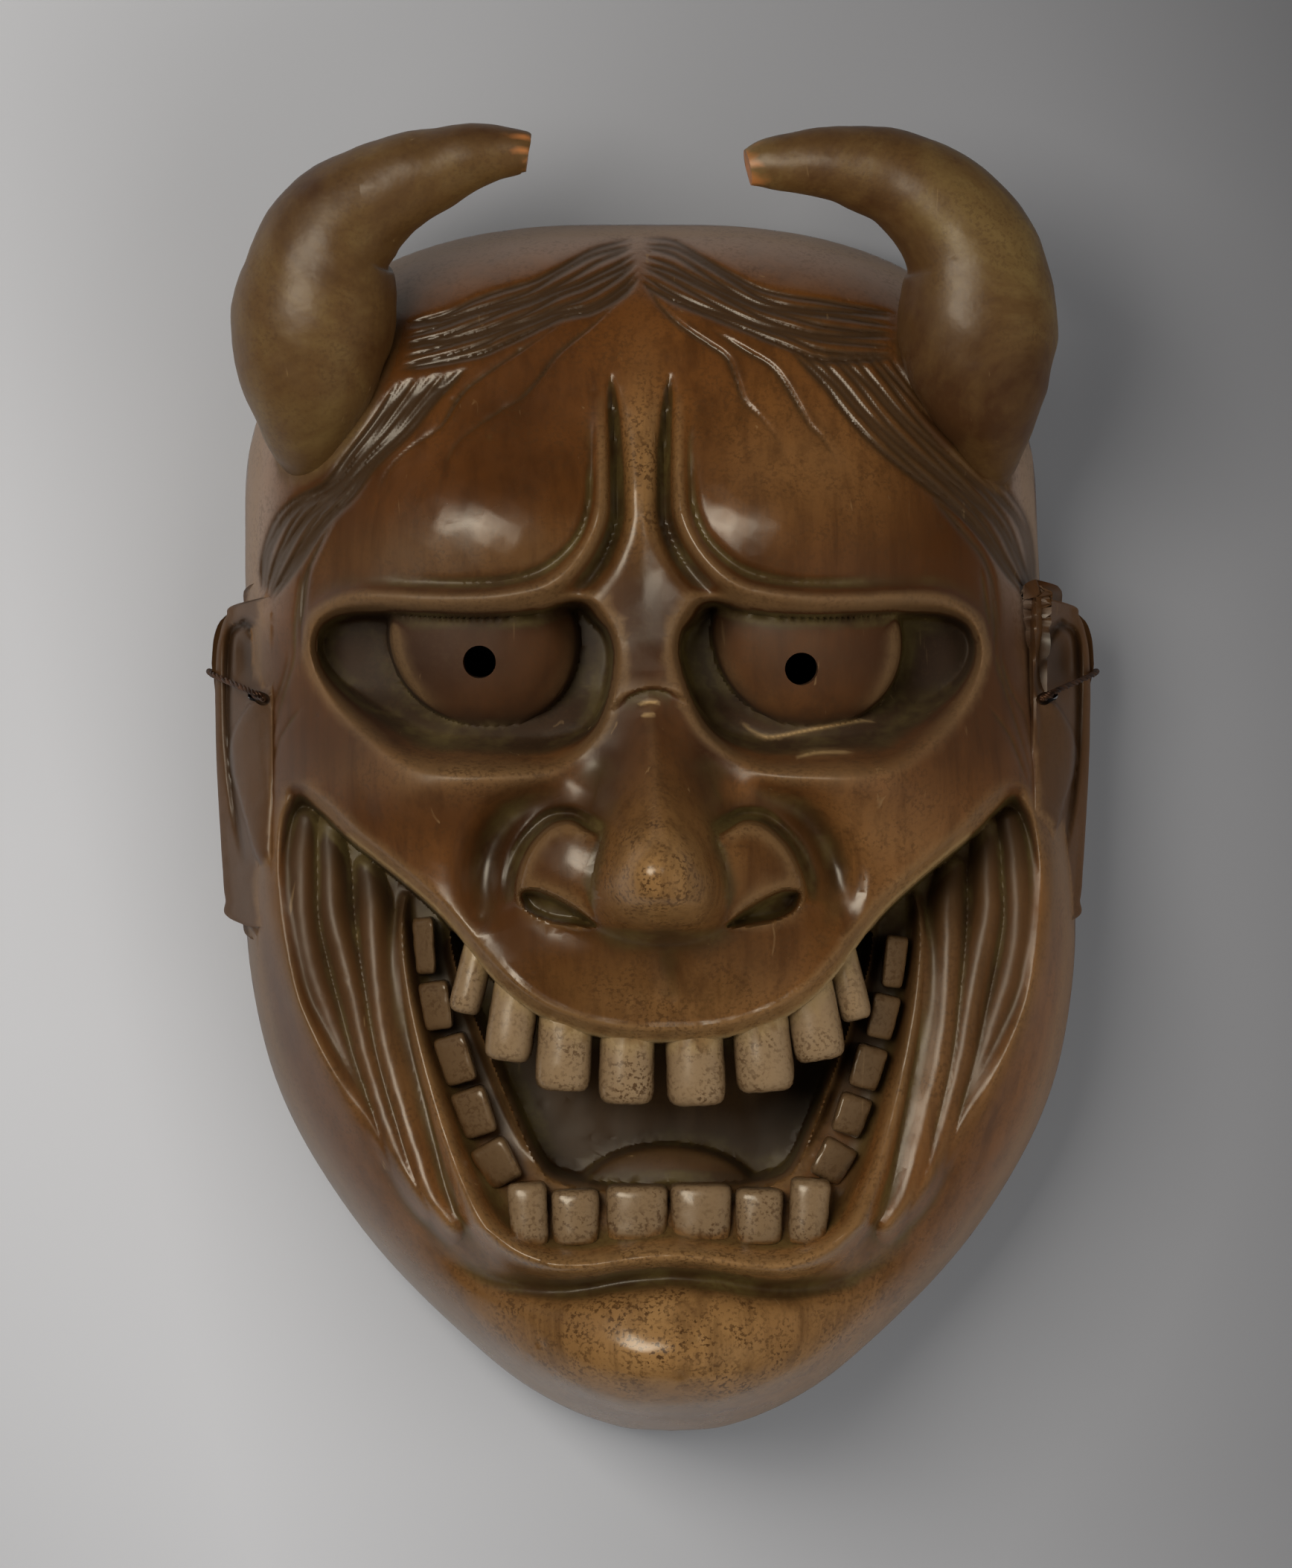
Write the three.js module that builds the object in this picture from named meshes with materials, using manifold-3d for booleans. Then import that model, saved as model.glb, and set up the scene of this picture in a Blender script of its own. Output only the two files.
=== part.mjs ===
// A carved wooden hannya mask, lying face up: one hollow block with its horns, ears,
// teeth and tongue, and a small loop of wire through each ear.
// Millimetres. +X is the viewer's right, +Y runs towards the horns, +Z out of the face.
// z = 0 is the flat back rim that the mask lies on, and the origin is in the middle of it.
import * as THREE from 'three';
import { mergeVertices } from 'three/addons/utils/BufferGeometryUtils.js';
import Module from 'manifold-3d';

// driving dimensions
const BLOCK_RISE = 74;        // depth of the plain block, before the carving
const BLOCK_POWER = 3;        // how boxy the block is in depth
const CENTRE_Y = -8;          // the point that the block's outline is measured about
const WALL = 8.5;             // thickness of the wood between the face and the hollow
const RIM = 9;                // width of the flat back rim
const EYE_HOLE = 6.6;         // bore of the eye holes
const EYE_HOLE_LEFT = [-34.6, 24.2];
const EYE_HOLE_RIGHT = [29.6, 22.8];
const EYE_WALL = 6;           // thickness left behind each eyeball
const EYE_AT = [32.4, 29.4];  // middle of an eyeball
const EYE_RADIUS = 19.2;
const EYE_TOP = 67.5;
const EYE_BORE = [34, 76];    // heights that an eye hole is bored between
const CAVITY_FLOOR = 36.5;    // floor of the open mouth
const TONGUE_TOP = 50;
const TONGUE = [20.5, -86.5, 13.3];   // half width, middle y and half length
const CHIN = [38, -118.5, 15, 20];    // half width, middle y, half length and how far it stands out
const SOCKET_DEPTH = 20;      // depth of the eye sockets
const CUTTER_REACH = 1.3;     // the carving is evened out over this distance
const CUTTER = [[1, 0], [0.5, 0.87], [-0.5, 0.87], [-1, 0], [-0.5, -0.87], [0.5, -0.87]];
const HORN_SIDES = 12;
const EAR_THICKNESS = 9;      // of the ear's slab, measured along Z
const CORD_HOLE = 2.6;        // bore of the hole for the wire beside each ear
const WIRE = 1.3;             // thickness of the twisted wire
const CARVING_TOLERANCE = 1.6;    // how far a flat facet may lie from the carved surface
const HOLLOW_TOLERANCE = 2;
const SHEET_STEPS = 256;      // finest grid of the carved surface, a power of two
const SMALLEST_STEP = 4;      // the smallest facet, in grid steps

// The block's outline, right half, from the crown down to the chin.
const OUTLINE = [[0, 115.4], [20, 115], [38, 112.3], [54, 106.5], [66, 97.5], [75.5, 84], [81, 68], [82, 48],
  [82.5, 24], [84, 0], [85.8, -25], [84.3, -45], [79.6, -64], [70.5, -82], [56.9, -100.3], [37, -119.4],
  [24, -128.2], [11, -133.2], [0, -134.2]];
// The face leans a little: how far its middle line lies from x = 0 at each height y.
const DRIFT = [[-134, 3.8], [-95, 3.4], [-50, 2.2], [-3, 0.7], [32, -1.7], [115, -2.6]];

// Closed lines, right half: x, y and how softly the edge turns there.
const SOCKET = [[14.5, 36.6, 1], [20.5, 34.8, 0.9], [28, 33.8, 0.9], [36, 33.6, 0.9], [45, 34.1, 0.9],
  [54, 34.9, 0.9], [60.5, 34.6, 1], [64.8, 32.8, 1.2], [67, 29, 1.5], [67.2, 25, 2], [65.6, 20, 3],
  [61.5, 13.5, 5], [54, 6.5, 6.5], [46.8, 2.5, 7], [35.2, 1.2, 7], [23.5, 1.6, 6.5], [16.1, 4.5, 5],
  [11, 9.5, 2.5], [8, 15.5, 1.6], [6.2, 22, 1.4], [5.8, 27.5, 1.6], [7.4, 32.4, 1.8], [10.4, 36.2, 1.6]];
const MOUTH = [[72, -2.9, 1.5], [67.8, -5.8, 1], [62, -11.5, 0.9], [57, -15.5, 0.9], [51, -20.4, 0.9],
  [45.8, -25, 0.9], [41.8, -29.4, 0.9], [37.8, -34.6, 0.9], [34.2, -39.2, 0.9], [30.2, -43.2, 0.9],
  [25, -46.8, 0.9], [19, -49.4, 0.9], [12, -51.3, 0.9], [5, -52.1, 0.9], [0, -52.2, 0.9], [-4, -52, 0.9],
  [-4, -98.5, 3], [0, -98.5, 3], [9.6, -99.2, 3], [17, -100.5, 3], [26, -100.8, 3], [36, -98.2, 3],
  [44, -92.8, 3], [51.7, -84.8, 3], [56.5, -77.2, 2.5], [60.5, -68.9, 2.2], [64.9, -60.5, 2], [69.5, -51.4, 2],
  [73, -43, 1.8], [75.1, -33.1, 1.8], [76.3, -23.3, 1.8], [76.6, -14.1, 1.8], [75.4, -6.5, 1.8]];
const CAVITY = [[42.8, -26, 1.1], [42.6, -30, 0.8], [42, -34.8, 0.7], [39.8, -42.3, 0.7], [37.1, -49.5, 0.7],
  [34.4, -56.8, 0.7], [31.8, -63.7, 0.7], [29.2, -70.4, 0.8], [26.6, -76, 0.8], [23.4, -79.8, 1],
  [17, -81.6, 1], [10, -82, 1], [0, -82, 1], [-4, -82, 1], [-4, -30, 1], [20, -28, 1]];
const WING = [[11, -10.5, 0.8], [13.6, -8.9, 0.8], [17, -7.2, 0.8], [20.9, -7.8, 0.8], [24.8, -10.8, 0.9],
  [27.4, -14.6, 1], [28.8, -18.8, 1], [29, -22.2, 1], [27.6, -25.2, 1.1], [22, -28, 1.2], [14, -29.5, 1.3],
  [8, -24, 1.5], [8, -14, 1.5]];
const NOSTRIL = [[12.8, -28.6, 0.5], [14.6, -26.2, 0.5], [17.8, -23.8, 0.5], [21.4, -21.9, 0.5],
  [24.6, -20.9, 0.5], [27.6, -21.2, 0.6], [28.2, -23, 0.7], [26.6, -25.7, 0.8], [22.8, -27.6, 0.8],
  [18, -28.6, 0.7]];

// Ridges and grooves, right half: x, y, height (a groove's is negative) and width.
const FURROW = [[5.9, 81.5, -0.3, 0.5], [5.6, 77, -2.6, 1], [5.2, 72, -4, 1.3], [4.9, 66, -4.6, 1.6],
  [4.8, 59, -5, 1.8], [5, 52.5, -5.4, 2], [7.3, 46.3, -5.6, 2.3], [10.7, 41, -4.5, 2.4], [14, 37.6, -3, 2.2],
  [18, 35.6, -1.5, 1.8]];
const ROLL = [[8.2, 76, 0.3, 1.4], [7.6, 70.6, 1, 1.6], [7.2, 61.7, 1.8, 1.7], [7.2, 56, 2.2, 1.8],
  [8.2, 50.6, 2.6, 1.9], [10.6, 45.8, 3, 2], [14.4, 41.6, 3.2, 2], [19.2, 38.6, 3.3, 2], [25, 37.1, 3.3, 2],
  [32.3, 36.3, 3.3, 2], [41.7, 36.3, 3.2, 2], [50, 36.8, 3, 2], [58, 36.9, 2.8, 2.1], [63, 35.2, 2.4, 2.1],
  [66.8, 31.8, 2, 2.1], [68.4, 26.5, 1.2, 2.2]];
const ROLL_GROOVE = [[9.8, 72, 0, 0.8], [9.8, 66, -0.6, 0.9], [10, 60, -1.1, 1], [10.8, 53.5, -1.4, 1],
  [13.2, 48, -1.5, 1.1], [18, 43.4, -1.5, 1.1], [23, 41, -1.5, 1.1], [29.5, 39.8, -1.3, 1.1],
  [37, 39.6, -0.9, 1.1], [46, 39.8, -0.3, 1.1], [52, 40, 0, 1.1]];
const BROW_STRIP = [[0, 84, 0, 4], [0, 72, 1.5, 4], [0, 55, 1.6, 4.5], [0, 42, 0, 6]];
const UNDER_EYE = [[12, -2, 0, 4], [17, -0.2, 2, 4], [24, 1.2, 2.8, 4.2], [33, 1.6, 2.6, 4.6], [41, 0.2, 2, 5],
  [50, -1.4, 1.4, 6], [58, -3, 0, 7]];
const CHEEK_VALLEY = [[12, 3, -1.5, 4], [22, -2.4, -2.5, 4], [30, -7.5, -5, 4.2], [34, -15, -6, 4.6],
  [34.5, -23, -4.5, 5], [33, -30, -1.5, 5]];
const WING_GROOVE = [[11.5, -8.5, -0.5, 0.9], [14.5, -7.3, -1.8, 1], [17.3, -6.2, -2.2, 1.1],
  [21.6, -6.8, -2.2, 1.1], [25.8, -10.2, -2.1, 1.1], [28.5, -14.2, -2, 1.2], [30, -18.8, -1.6, 1.3],
  [30.2, -23, -0.8, 1.3]];
const PHILTRUM = [[1, -33, 0, 2.5], [1.5, -37, -1.2, 2.4], [2, -41, -0.9, 2.6], [2, -45, 0, 2.6]];
const LIP = [[51.6, -23.5, 2, 1], [52.2, -28, 5, 1.4], [52.1, -34.7, 6.5, 1.9], [51, -43.8, 7, 2.4],
  [49.3, -52.5, 7, 2.7], [47, -61.8, 7.2, 2.9], [44.2, -71.2, 7.4, 3], [41, -80, 7.6, 3], [37, -88, 7.8, 3],
  [31.8, -93, 8, 3], [25, -95.6, 8, 3], [16.5, -96, 8, 3], [8, -94.8, 8, 3], [2, -94.2, 8, 3],
  [-4, -94.2, 8, 3]];
const GUM = [[42.8, -27, 2, 0.8], [42, -34.8, 5, 1], [39.8, -42.3, 5, 1.1], [37.1, -49.5, 5, 1.1],
  [34.4, -56.8, 5, 1.1], [31.5, -63.7, 5, 1.2], [28.1, -70.4, 5, 1.3], [24.2, -75.3, 3.5, 1.3],
  [20, -78, 1, 1.3]];
const FOLDS = [
  [[71, -8, 1, 1.6], [71.8, -14, 3, 1.8], [72.1, -20, 4.5, 2], [72, -27.7, 5, 2.1], [70.6, -36, 5, 2.1],
    [68.2, -44.1, 4.6, 2], [65.1, -52.3, 4.2, 1.9], [61.8, -61.1, 3.6, 1.7], [58.8, -69.4, 2.6, 1.6],
    [56, -76, 1, 1.5]],
  [[66.4, -9.5, 1.5, 1], [66.4, -18.6, 4, 1.2], [66, -26.9, 5.5, 1.4], [64, -35.5, 6, 1.6],
    [62.1, -43.9, 6, 1.7], [60.4, -53, 5.6, 1.7], [58, -61.6, 5, 1.7], [55, -70.7, 4, 1.6],
    [52.1, -78.2, 2.5, 1.6], [49, -85, 1, 1.5]],
  [[59, -17.5, 2, 1.2], [58.2, -24, 4.5, 1.7], [57.9, -32.8, 6.2, 2], [57.4, -41.1, 6.4, 2.1],
    [56.5, -49.4, 6.2, 2.1], [54.9, -57.6, 6, 2], [52.6, -65.9, 5.5, 1.9], [50.2, -74.2, 4.5, 1.8],
    [47.6, -81.7, 2.8, 1.8], [44, -88, 1, 1.8]],
];
const CREASE = [[50, -91, 0, 3], [44, -96.4, -1.4, 2.8], [36, -100.6, -2.6, 2.6], [26, -102, -3.4, 2.6],
  [18, -101.6, -3.8, 2.6], [9, -100, -3.8, 2.6], [0, -99.2, -3.8, 2.6]];
const JOWL = [[80, 8, 0, 2.5], [80.5, -2, 1, 2.6], [80.5, -12, 1.6, 2.6], [79.4, -24, 2, 2.8], [77, -34, 2, 3],
  [74, -44, 1.8, 3], [69.5, -55, 1.5, 3], [63, -67, 1, 3], [57, -78, 0, 3]];

// Broad swellings and hollows, right half: x, y, reach in x and y, height.
const SWELLINGS = [[29, 52, 24, 15, 6], [0, 62, 10, 26, -1], [44, 2, 21, 13, 6.5], [20, -30, 20, 16, 4],
  [0, -38, 30, 16, 5], [66, 58, 12, 20, -2.5]];

// The nose along its length: y and how far it stands out, its half width, and how full its sides are.
const NOSE_RISE = [[22, 0], [19, 0.8], [15, 1.6], [9.8, 4], [1, 8.5], [-6.3, 14.5], [-12, 20.5], [-16, 23],
  [-20, 22.6], [-24, 19], [-27.5, 11.5], [-30, 4], [-32, 1], [-35, 0]];
const NOSE_WIDTH = [[22, 4.5], [15, 5], [9.8, 5.6], [3, 6.6], [-3, 8], [-8, 9.6], [-14, 11.2], [-20, 12],
  [-25, 11.4], [-30, 9.4], [-35, 7]];
const NOSE_FULLNESS = [[22, 1.3], [9.8, 1.4], [0, 1.6], [-8, 2.1], [-14, 2.6], [-35, 2.6]];
const SKIRT_RISE = [[22, 0], [14, 1.5], [5, 4], [-5, 6.5], [-15, 8], [-25, 6], [-33, 3], [-42, 0]];
// Height of the jaw inside the mouth's outline, from the corners down to the lower lip.
const JAW = [[0, 45], [-20, 45.5], [-40, 47], [-60, 50], [-75, 54.5], [-88, 60], [-100, 64]];

// The horns' middle lines: x, y, z and radius.
const HORN_LEFT = [[-67, 61, 42, 3], [-68.5, 65, 46, 6.2], [-69.1, 70.7, 50, 9.7], [-69, 79.2, 53, 13.7],
  [-69, 86, 54.5, 15.5], [-68.3, 92.7, 55.5, 16.6], [-67.2, 99.5, 56.5, 16], [-64.8, 108.6, 58, 13.8],
  [-60, 114.3, 59, 12.2], [-54.8, 117.9, 60, 10.5], [-49, 120.9, 61, 9.4], [-43.1, 122.9, 62, 8.2],
  [-37.4, 124.9, 63, 6.9], [-31.9, 125.9, 63.5, 5.7], [-26.8, 126, 64, 4.6], [-24.9, 125.8, 64, 3.9]];
const HORN_RIGHT = [[67, 60, 42, 3], [68, 64.5, 46, 5.6], [67.8, 71, 50, 9], [66.8, 77.5, 53, 12.6],
  [65.8, 84.5, 54.5, 15.2], [65.3, 92, 55.5, 16.2], [65, 99.5, 56.5, 15.3], [63.7, 106.5, 57.5, 13.8],
  [60.2, 112.3, 58.5, 12.4], [55.4, 117, 59.5, 11.3], [48.7, 121, 60.5, 9.8], [42.1, 122.8, 61.5, 8.8],
  [36.7, 123.7, 62.5, 7.6], [30.5, 124, 63, 6.5], [23.4, 123.7, 63.5, 5.2], [19, 122.9, 64, 3.6]];

// An ear seen from the front: y, then x of its outer edge, from the top down to the lobe.
const EAR_EDGE = [[37.4, 79.5], [36.4, 85], [34, 87.4], [30, 89], [22, 89.9], [12.2, 89.9], [2.4, 89.6],
  [-7.3, 89], [-17.1, 88.3], [-24, 87.6], [-28, 86.4], [-29.4, 82.5]];
const EAR_ROOT = 71;          // x where the ear is lost in the head
const EAR_START = 76;         // x where it comes out of the head, and where its edge lies lowest
const EAR_END = 90;
const EAR_SHELL = [82.5, 26]; // middle of the shell's hollow
const EAR_HIGH = 44;          // height of the ear where it leaves the head, at x = 76
const EAR_LOW = 15;           // height of its outer edge, at x = 90
// The flap in front of the ear's shell: y and x of its edge.
const EAR_FLAP = [[21, 76], [18, 80], [12.7, 84.8], [7.3, 86.8], [2.4, 86.5], [-3.4, 84.6], [-9, 83],
  [-14, 81.5], [-20, 78]];

// Teeth: x, y of the middle, width, length, turn about Z in degrees, top and bottom heights.
const TEETH = [[-35.8, -37.5, 6, 18, -14, 68, 57], [-27.9, -46.2, 8.8, 19.2, -8, 71.5, 58],
  [-17.6, -52, 10.2, 19.3, -3, 73, 58.5], [-5.2, -54.4, 10.2, 19.7, -1, 73.5, 58.5],
  [8.4, -54.6, 10.8, 20, 2, 73.5, 58.5], [21.8, -52, 10.7, 19.7, 5, 73, 58.5],
  [31.9, -46.2, 9.6, 19, 10, 71.5, 58], [38.6, -38.6, 6, 18.5, 14, 68, 57],
  [-24.9, -86.8, 7.2, 13.5, 4, 67, 52], [-15.5, -87.2, 8.8, 11.5, 1, 66.5, 52],
  [-3.2, -86.6, 11.4, 11.8, 0, 66.5, 52], [9.6, -86.4, 11.2, 12, 0, 66.5, 52],
  [21.2, -87, 8.8, 11.5, -1, 66.5, 52], [31.2, -86, 7.4, 13.5, -4, 67, 52], [-46, -33, 4, 11.5, 4, 57, 44],
  [-43.6, -45, 5.6, 9.8, 9, 59, 45], [-39.7, -55.8, 6.2, 10, 17, 60, 46], [-35.9, -66.4, 6.6, 9.8, 19, 61, 47],
  [-31.4, -76.6, 7.2, 9.2, 29, 62.5, 48], [48.7, -36.2, 4.2, 10.5, -7, 57, 44],
  [46.3, -47.2, 5.2, 9, -13, 59, 45], [43.2, -57.4, 5.8, 8.8, -16, 60, 46], [39.9, -66.9, 6, 8.2, -19, 61, 47],
  [36.2, -76.2, 6.6, 8.2, -29, 62.5, 48]];

const clamp = (v, a, b) => Math.min(Math.max(v, a), b);

// A steady blend from 0 at a to 1 at b.
function smooth(a, b, v) {
  const t = clamp((v - a) / (b - a), 0, 1);
  return t * t * (3 - 2 * t);
}

// A smooth curve through pairs of place and value, made once and read many times.
function through(points) {
  const p = [...points].sort((a, b) => a[0] - b[0]);
  const slope = p.map((q, i) => {
    if (i === 0) return (p[1][1] - q[1]) / (p[1][0] - q[0]);
    if (i === p.length - 1) return (q[1] - p[i - 1][1]) / (q[0] - p[i - 1][0]);
    const before = q[0] - p[i - 1][0], after = p[i + 1][0] - q[0];
    return ((p[i + 1][1] - q[1]) * before / after + (q[1] - p[i - 1][1]) * after / before) / (before + after);
  });
  return (v) => {
    const at = clamp(v, p[0][0], p[p.length - 1][0]);
    let i = 0;
    while (i < p.length - 2 && at > p[i + 1][0]) i += 1;
    const gap = p[i + 1][0] - p[i][0], s = (at - p[i][0]) / gap;
    return (1 + 2 * s) * (1 - s) ** 2 * p[i][1] + s * (1 - s) ** 2 * gap * slope[i]
      + s * s * (3 - 2 * s) * p[i + 1][1] + s * s * (s - 1) * gap * slope[i + 1];
  };
}

// Points along a smooth line through the given ones; the columns after x and y go along.
function line(points, closed = false, steps = 6) {
  const out = [], n = points.length;
  const at = (i) => {
    if (closed) return points[(i + n) % n];
    if (i < 0) return points[0].map((v, k) => 2 * v - points[1][k]);
    if (i >= n) return points[n - 1].map((v, k) => 2 * v - points[n - 2][k]);
    return points[i];
  };
  for (let i = 0; i < (closed ? n : n - 1); i += 1) {
    const [a, b, c, d] = [at(i - 1), at(i), at(i + 1), at(i + 2)];
    for (let j = 0; j < steps; j += 1) {
      const t = j / steps;
      out.push(b.map((v, k) => 0.5 * (2 * v + (c[k] - a[k]) * t + (2 * a[k] - 5 * v + 4 * c[k] - d[k]) * t * t
        + (3 * v - a[k] - 3 * c[k] + d[k]) * t ** 3)));
    }
  }
  out.push(closed ? points[0] : points[n - 1]);
  const xs = out.map((p) => p[0]), ys = out.map((p) => p[1]);
  return { points: out, low: [Math.min(...xs), Math.min(...ys)], high: [Math.max(...xs), Math.max(...ys)] };
}

// Distance to a line, and its other columns at the nearest point; null when out of reach.
function nearest(path, reach, x, y) {
  const { low, high, points } = path;
  if (x < low[0] - reach || x > high[0] + reach || y < low[1] - reach || y > high[1] + reach) return null;
  let best = Infinity, from = points[0], to = points[0], along = 0;
  for (let i = 0; i < points.length - 1; i += 1) {
    const a = points[i], b = points[i + 1];
    const dx = b[0] - a[0], dy = b[1] - a[1];
    const t = clamp(((x - a[0]) * dx + (y - a[1]) * dy) / (dx * dx + dy * dy + 1e-12), 0, 1);
    const ex = x - a[0] - t * dx, ey = y - a[1] - t * dy, d = ex * ex + ey * ey;
    if (d < best) { best = d; from = a; to = b; along = t; }
  }
  return { distance: Math.sqrt(best), first: from[2] + along * (to[2] - from[2]),
    second: from.length > 3 ? from[3] + along * (to[3] - from[3]) : 0 };
}

// Distance in from a closed line: positive inside, negative outside.
function inside(path, reach, x, y) {
  const near = nearest(path, reach, x, y);
  if (!near) return null;
  let within = false;
  const p = path.points;
  for (let i = 0; i < p.length - 1; i += 1) {
    const a = p[i], b = p[i + 1];
    if ((a[1] > y) !== (b[1] > y) && x < a[0] + (y - a[1]) / (b[1] - a[1]) * (b[0] - a[0])) within = !within;
  }
  return { depth: within ? near.distance : -near.distance, soft: near.first };
}

function ridge(points) {
  const path = line(points), reach = 2.6 * Math.max(...points.map((p) => p[3]));
  return (x, y) => {
    const near = nearest(path, reach, x, y);
    return near && near.distance < reach ? near.first * Math.exp(-((near.distance / near.second) ** 2)) : 0;
  };
}

const driftAt = through(DRIFT), noseRise = through(NOSE_RISE), noseWidth = through(NOSE_WIDTH);
const noseFullness = through(NOSE_FULLNESS);
const skirtRise = through(SKIRT_RISE), jawHeight = through(JAW);
const earEdge = through(EAR_EDGE), earFlap = through(EAR_FLAP);
const socketLine = line(SOCKET, true), mouthLine = line(MOUTH, true), cavityLine = line(CAVITY, true);
const wingLine = line(WING, true), nostrilLine = line(NOSTRIL, true), lipEdge = line(MOUTH.slice(0, 15));
const roll = ridge(ROLL), rollGroove = ridge(ROLL_GROOVE), furrow = ridge(FURROW), strip = ridge(BROW_STRIP);
const underEye = ridge(UNDER_EYE), valley = ridge(CHEEK_VALLEY), wingGroove = ridge(WING_GROOVE);
const philtrum = ridge(PHILTRUM), lip = ridge(LIP), gum = ridge(GUM), folds = FOLDS.map((fold) => line(fold));
const crease = ridge(CREASE), jowl = ridge(JOWL);

// The outline's radius at an angle from +X, the same on both sides.
const outlineRadius = (() => {
  const polar = line(OUTLINE, false, 12).points
    .map(([x, y]) => [Math.atan2(y - CENTRE_Y, x), Math.hypot(x, y - CENTRE_Y)]).sort((a, b) => a[0] - b[0]);
  return (angle) => {
    let low = 0, high = polar.length - 1;
    while (high - low > 1) {
      const middle = (low + high) >> 1;
      if (polar[middle][0] <= angle) low = middle; else high = middle;
    }
    const t = clamp((angle - polar[low][0]) / (polar[high][0] - polar[low][0]), 0, 1);
    return polar[low][1] + t * (polar[high][1] - polar[low][1]);
  };
})();

const blockHeight = (s) => BLOCK_RISE * Math.max(1 - s ** BLOCK_POWER, 0) ** (1 / BLOCK_POWER);

// Height of the carved face over a point of the plan, before the cutter's width softens it.
function cut(px, y) {
  const x = px - driftAt(y), u = Math.abs(x);
  const s = Math.min(Math.hypot(u, y - CENTRE_Y) / outlineRadius(Math.atan2(y - CENTRE_Y, u)), 1);
  let z = blockHeight(s);
  const broad = 1 - smooth(0.72, 1, s);
  for (const [cx, cy, rx, ry, h] of SWELLINGS) z += broad * h * Math.exp(-(((u - cx) / rx) ** 2) - ((y - cy) / ry) ** 2);
  z += (1 - smooth(0.92, 1, s)) * CHIN[3] * Math.exp(-((u / CHIN[0]) ** 2) - ((y - CHIN[1]) / CHIN[2]) ** 2);
  z += underEye(u, y) + valley(u, y) + roll(u, y) + rollGroove(u, y) + furrow(u, y) + strip(u, y);

  // the eye sockets, deepest under the brow, and the eyeballs in them
  const socket = inside(socketLine, 14, u, y);
  if (socket) {
    const w = smooth(-0.1, 1, socket.depth / (socket.soft * 1.2));
    const floor = z - SOCKET_DEPTH + 4 * smooth(20, 9, y) + 5 * smooth(52, 66, u);
    z = z * (1 - w) + Math.min(floor, z) * w;
    const d = Math.hypot(u - EYE_AT[0], y - EYE_AT[1]);
    const ball = EYE_TOP - 9.5 * (d / EYE_RADIUS) ** 2.4 - 60 * smooth(EYE_RADIUS - 1, EYE_RADIUS + 5, d);
    if (w > 0.2) z = Math.max(z, ball - 12 * (1 - smooth(0.2, 0.75, w)));
  }

  // the nose, its wings and nostrils, and the arched ledge over its root
  z += noseRise(y) * Math.exp(-(Math.abs(x / noseWidth(y)) ** noseFullness(y)));
  z += skirtRise(y) * Math.exp(-((x / 14) ** 2));
  const wing = inside(wingLine, 14, u, y);
  if (wing) {
    const cap = 87.4 - 2.2 * ((u - 16) / 11) ** 2 - 2.2 * ((y + 18) / 10.5) ** 2 - 0.12 * (u - 16);
    const w = smooth(-0.4, 1.8, wing.depth / wing.soft);
    if (w > 0) z = Math.max(z, z * (1 - w) + cap * w);
  }
  z += wingGroove(u, y);
  const nostril = inside(nostrilLine, 6, u, y);
  if (nostril) z -= 8 * smooth(-0.3, 0.7, nostril.depth / nostril.soft) * smooth(-0.5, 2, nostril.depth);
  const arch = 18.5 - 0.055 * (x - 0.8) ** 2;
  z += 2.4 * smooth(-0.4, 0.5, y - arch) * (1 - smooth(arch + 2, arch + 11, y)) * (1 - smooth(7, 9.5, u));
  z += philtrum(x, y);

  // the open mouth: the cut upper lip, then jaw, folds, lower lip, gums, floor and tongue
  const mouth = inside(mouthLine, 12, u, y);
  if (mouth) {
    const edge = nearest(lipEdge, 6, u, y);
    if (edge && edge.distance < 6) {
      z -= 3.2 * (1 - smooth(0, 3.2, edge.distance))
        - 0.9 * Math.exp(-((edge.distance - 3.3) ** 2)) * smooth(36, 26, u);
    }
    const w = smooth(-0.5, 1.2, mouth.depth / mouth.soft);
    if (w > 0) {
      let within = Math.min(jawHeight(y) - 0.06 * (u - 50), z + 2);
      for (const fold of folds) {
        const near = nearest(fold, 6.5, u, y);
        if (near) within = Math.max(within, jawHeight(y) + near.first - 0.27 * near.distance ** 2);
      }
      within += lip(u, y) + gum(u, y);
      const cavity = inside(cavityLine, 4, u, y);
      if (cavity) {
        const c = smooth(-0.2, 2.2, cavity.depth / cavity.soft);
        within = within * (1 - c) + (CAVITY_FLOOR + 2 * smooth(-40, -75, y)) * c;
      }
      const tongue = 1 - (u / TONGUE[0]) ** 2 - ((y - TONGUE[1]) / TONGUE[2]) ** 2;
      const top = TONGUE_TOP - 7 + 7 * Math.sqrt(clamp(tongue, 0, 1));
      within += (Math.max(within, top) - within) * smooth(-0.03, 0.16, tongue);
      z = z * (1 - w) + within * w;
    }
  }
  return Math.max(z + crease(u, y) + jowl(u, y), 0);
}

// Height of the carved face, evened out over the width of the cutter.
function carved(x, y) {
  let sum = 2 * cut(x, y);
  for (const [a, b] of CUTTER) sum += cut(x + a * CUTTER_REACH, y + b * CUTTER_REACH);
  return sum / (2 + CUTTER.length);
}

// From the unit square to the block's plan: even steps along the block's rounded section.
const section = (() => {
  const steps = 800, place = [0];
  for (let i = 1; i <= steps; i += 1) {
    place.push(place[i - 1] + Math.hypot(100 / steps, blockHeight(i / steps) - blockHeight((i - 1) / steps)));
  }
  return (share) => {
    const at = share * place[steps];
    let low = 0, high = steps;
    while (high - low > 1) {
      const middle = (low + high) >> 1;
      if (place[middle] <= at) low = middle; else high = middle;
    }
    return (low + (at - place[low]) / (place[high] - place[low])) / steps;
  };
})();

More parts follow.
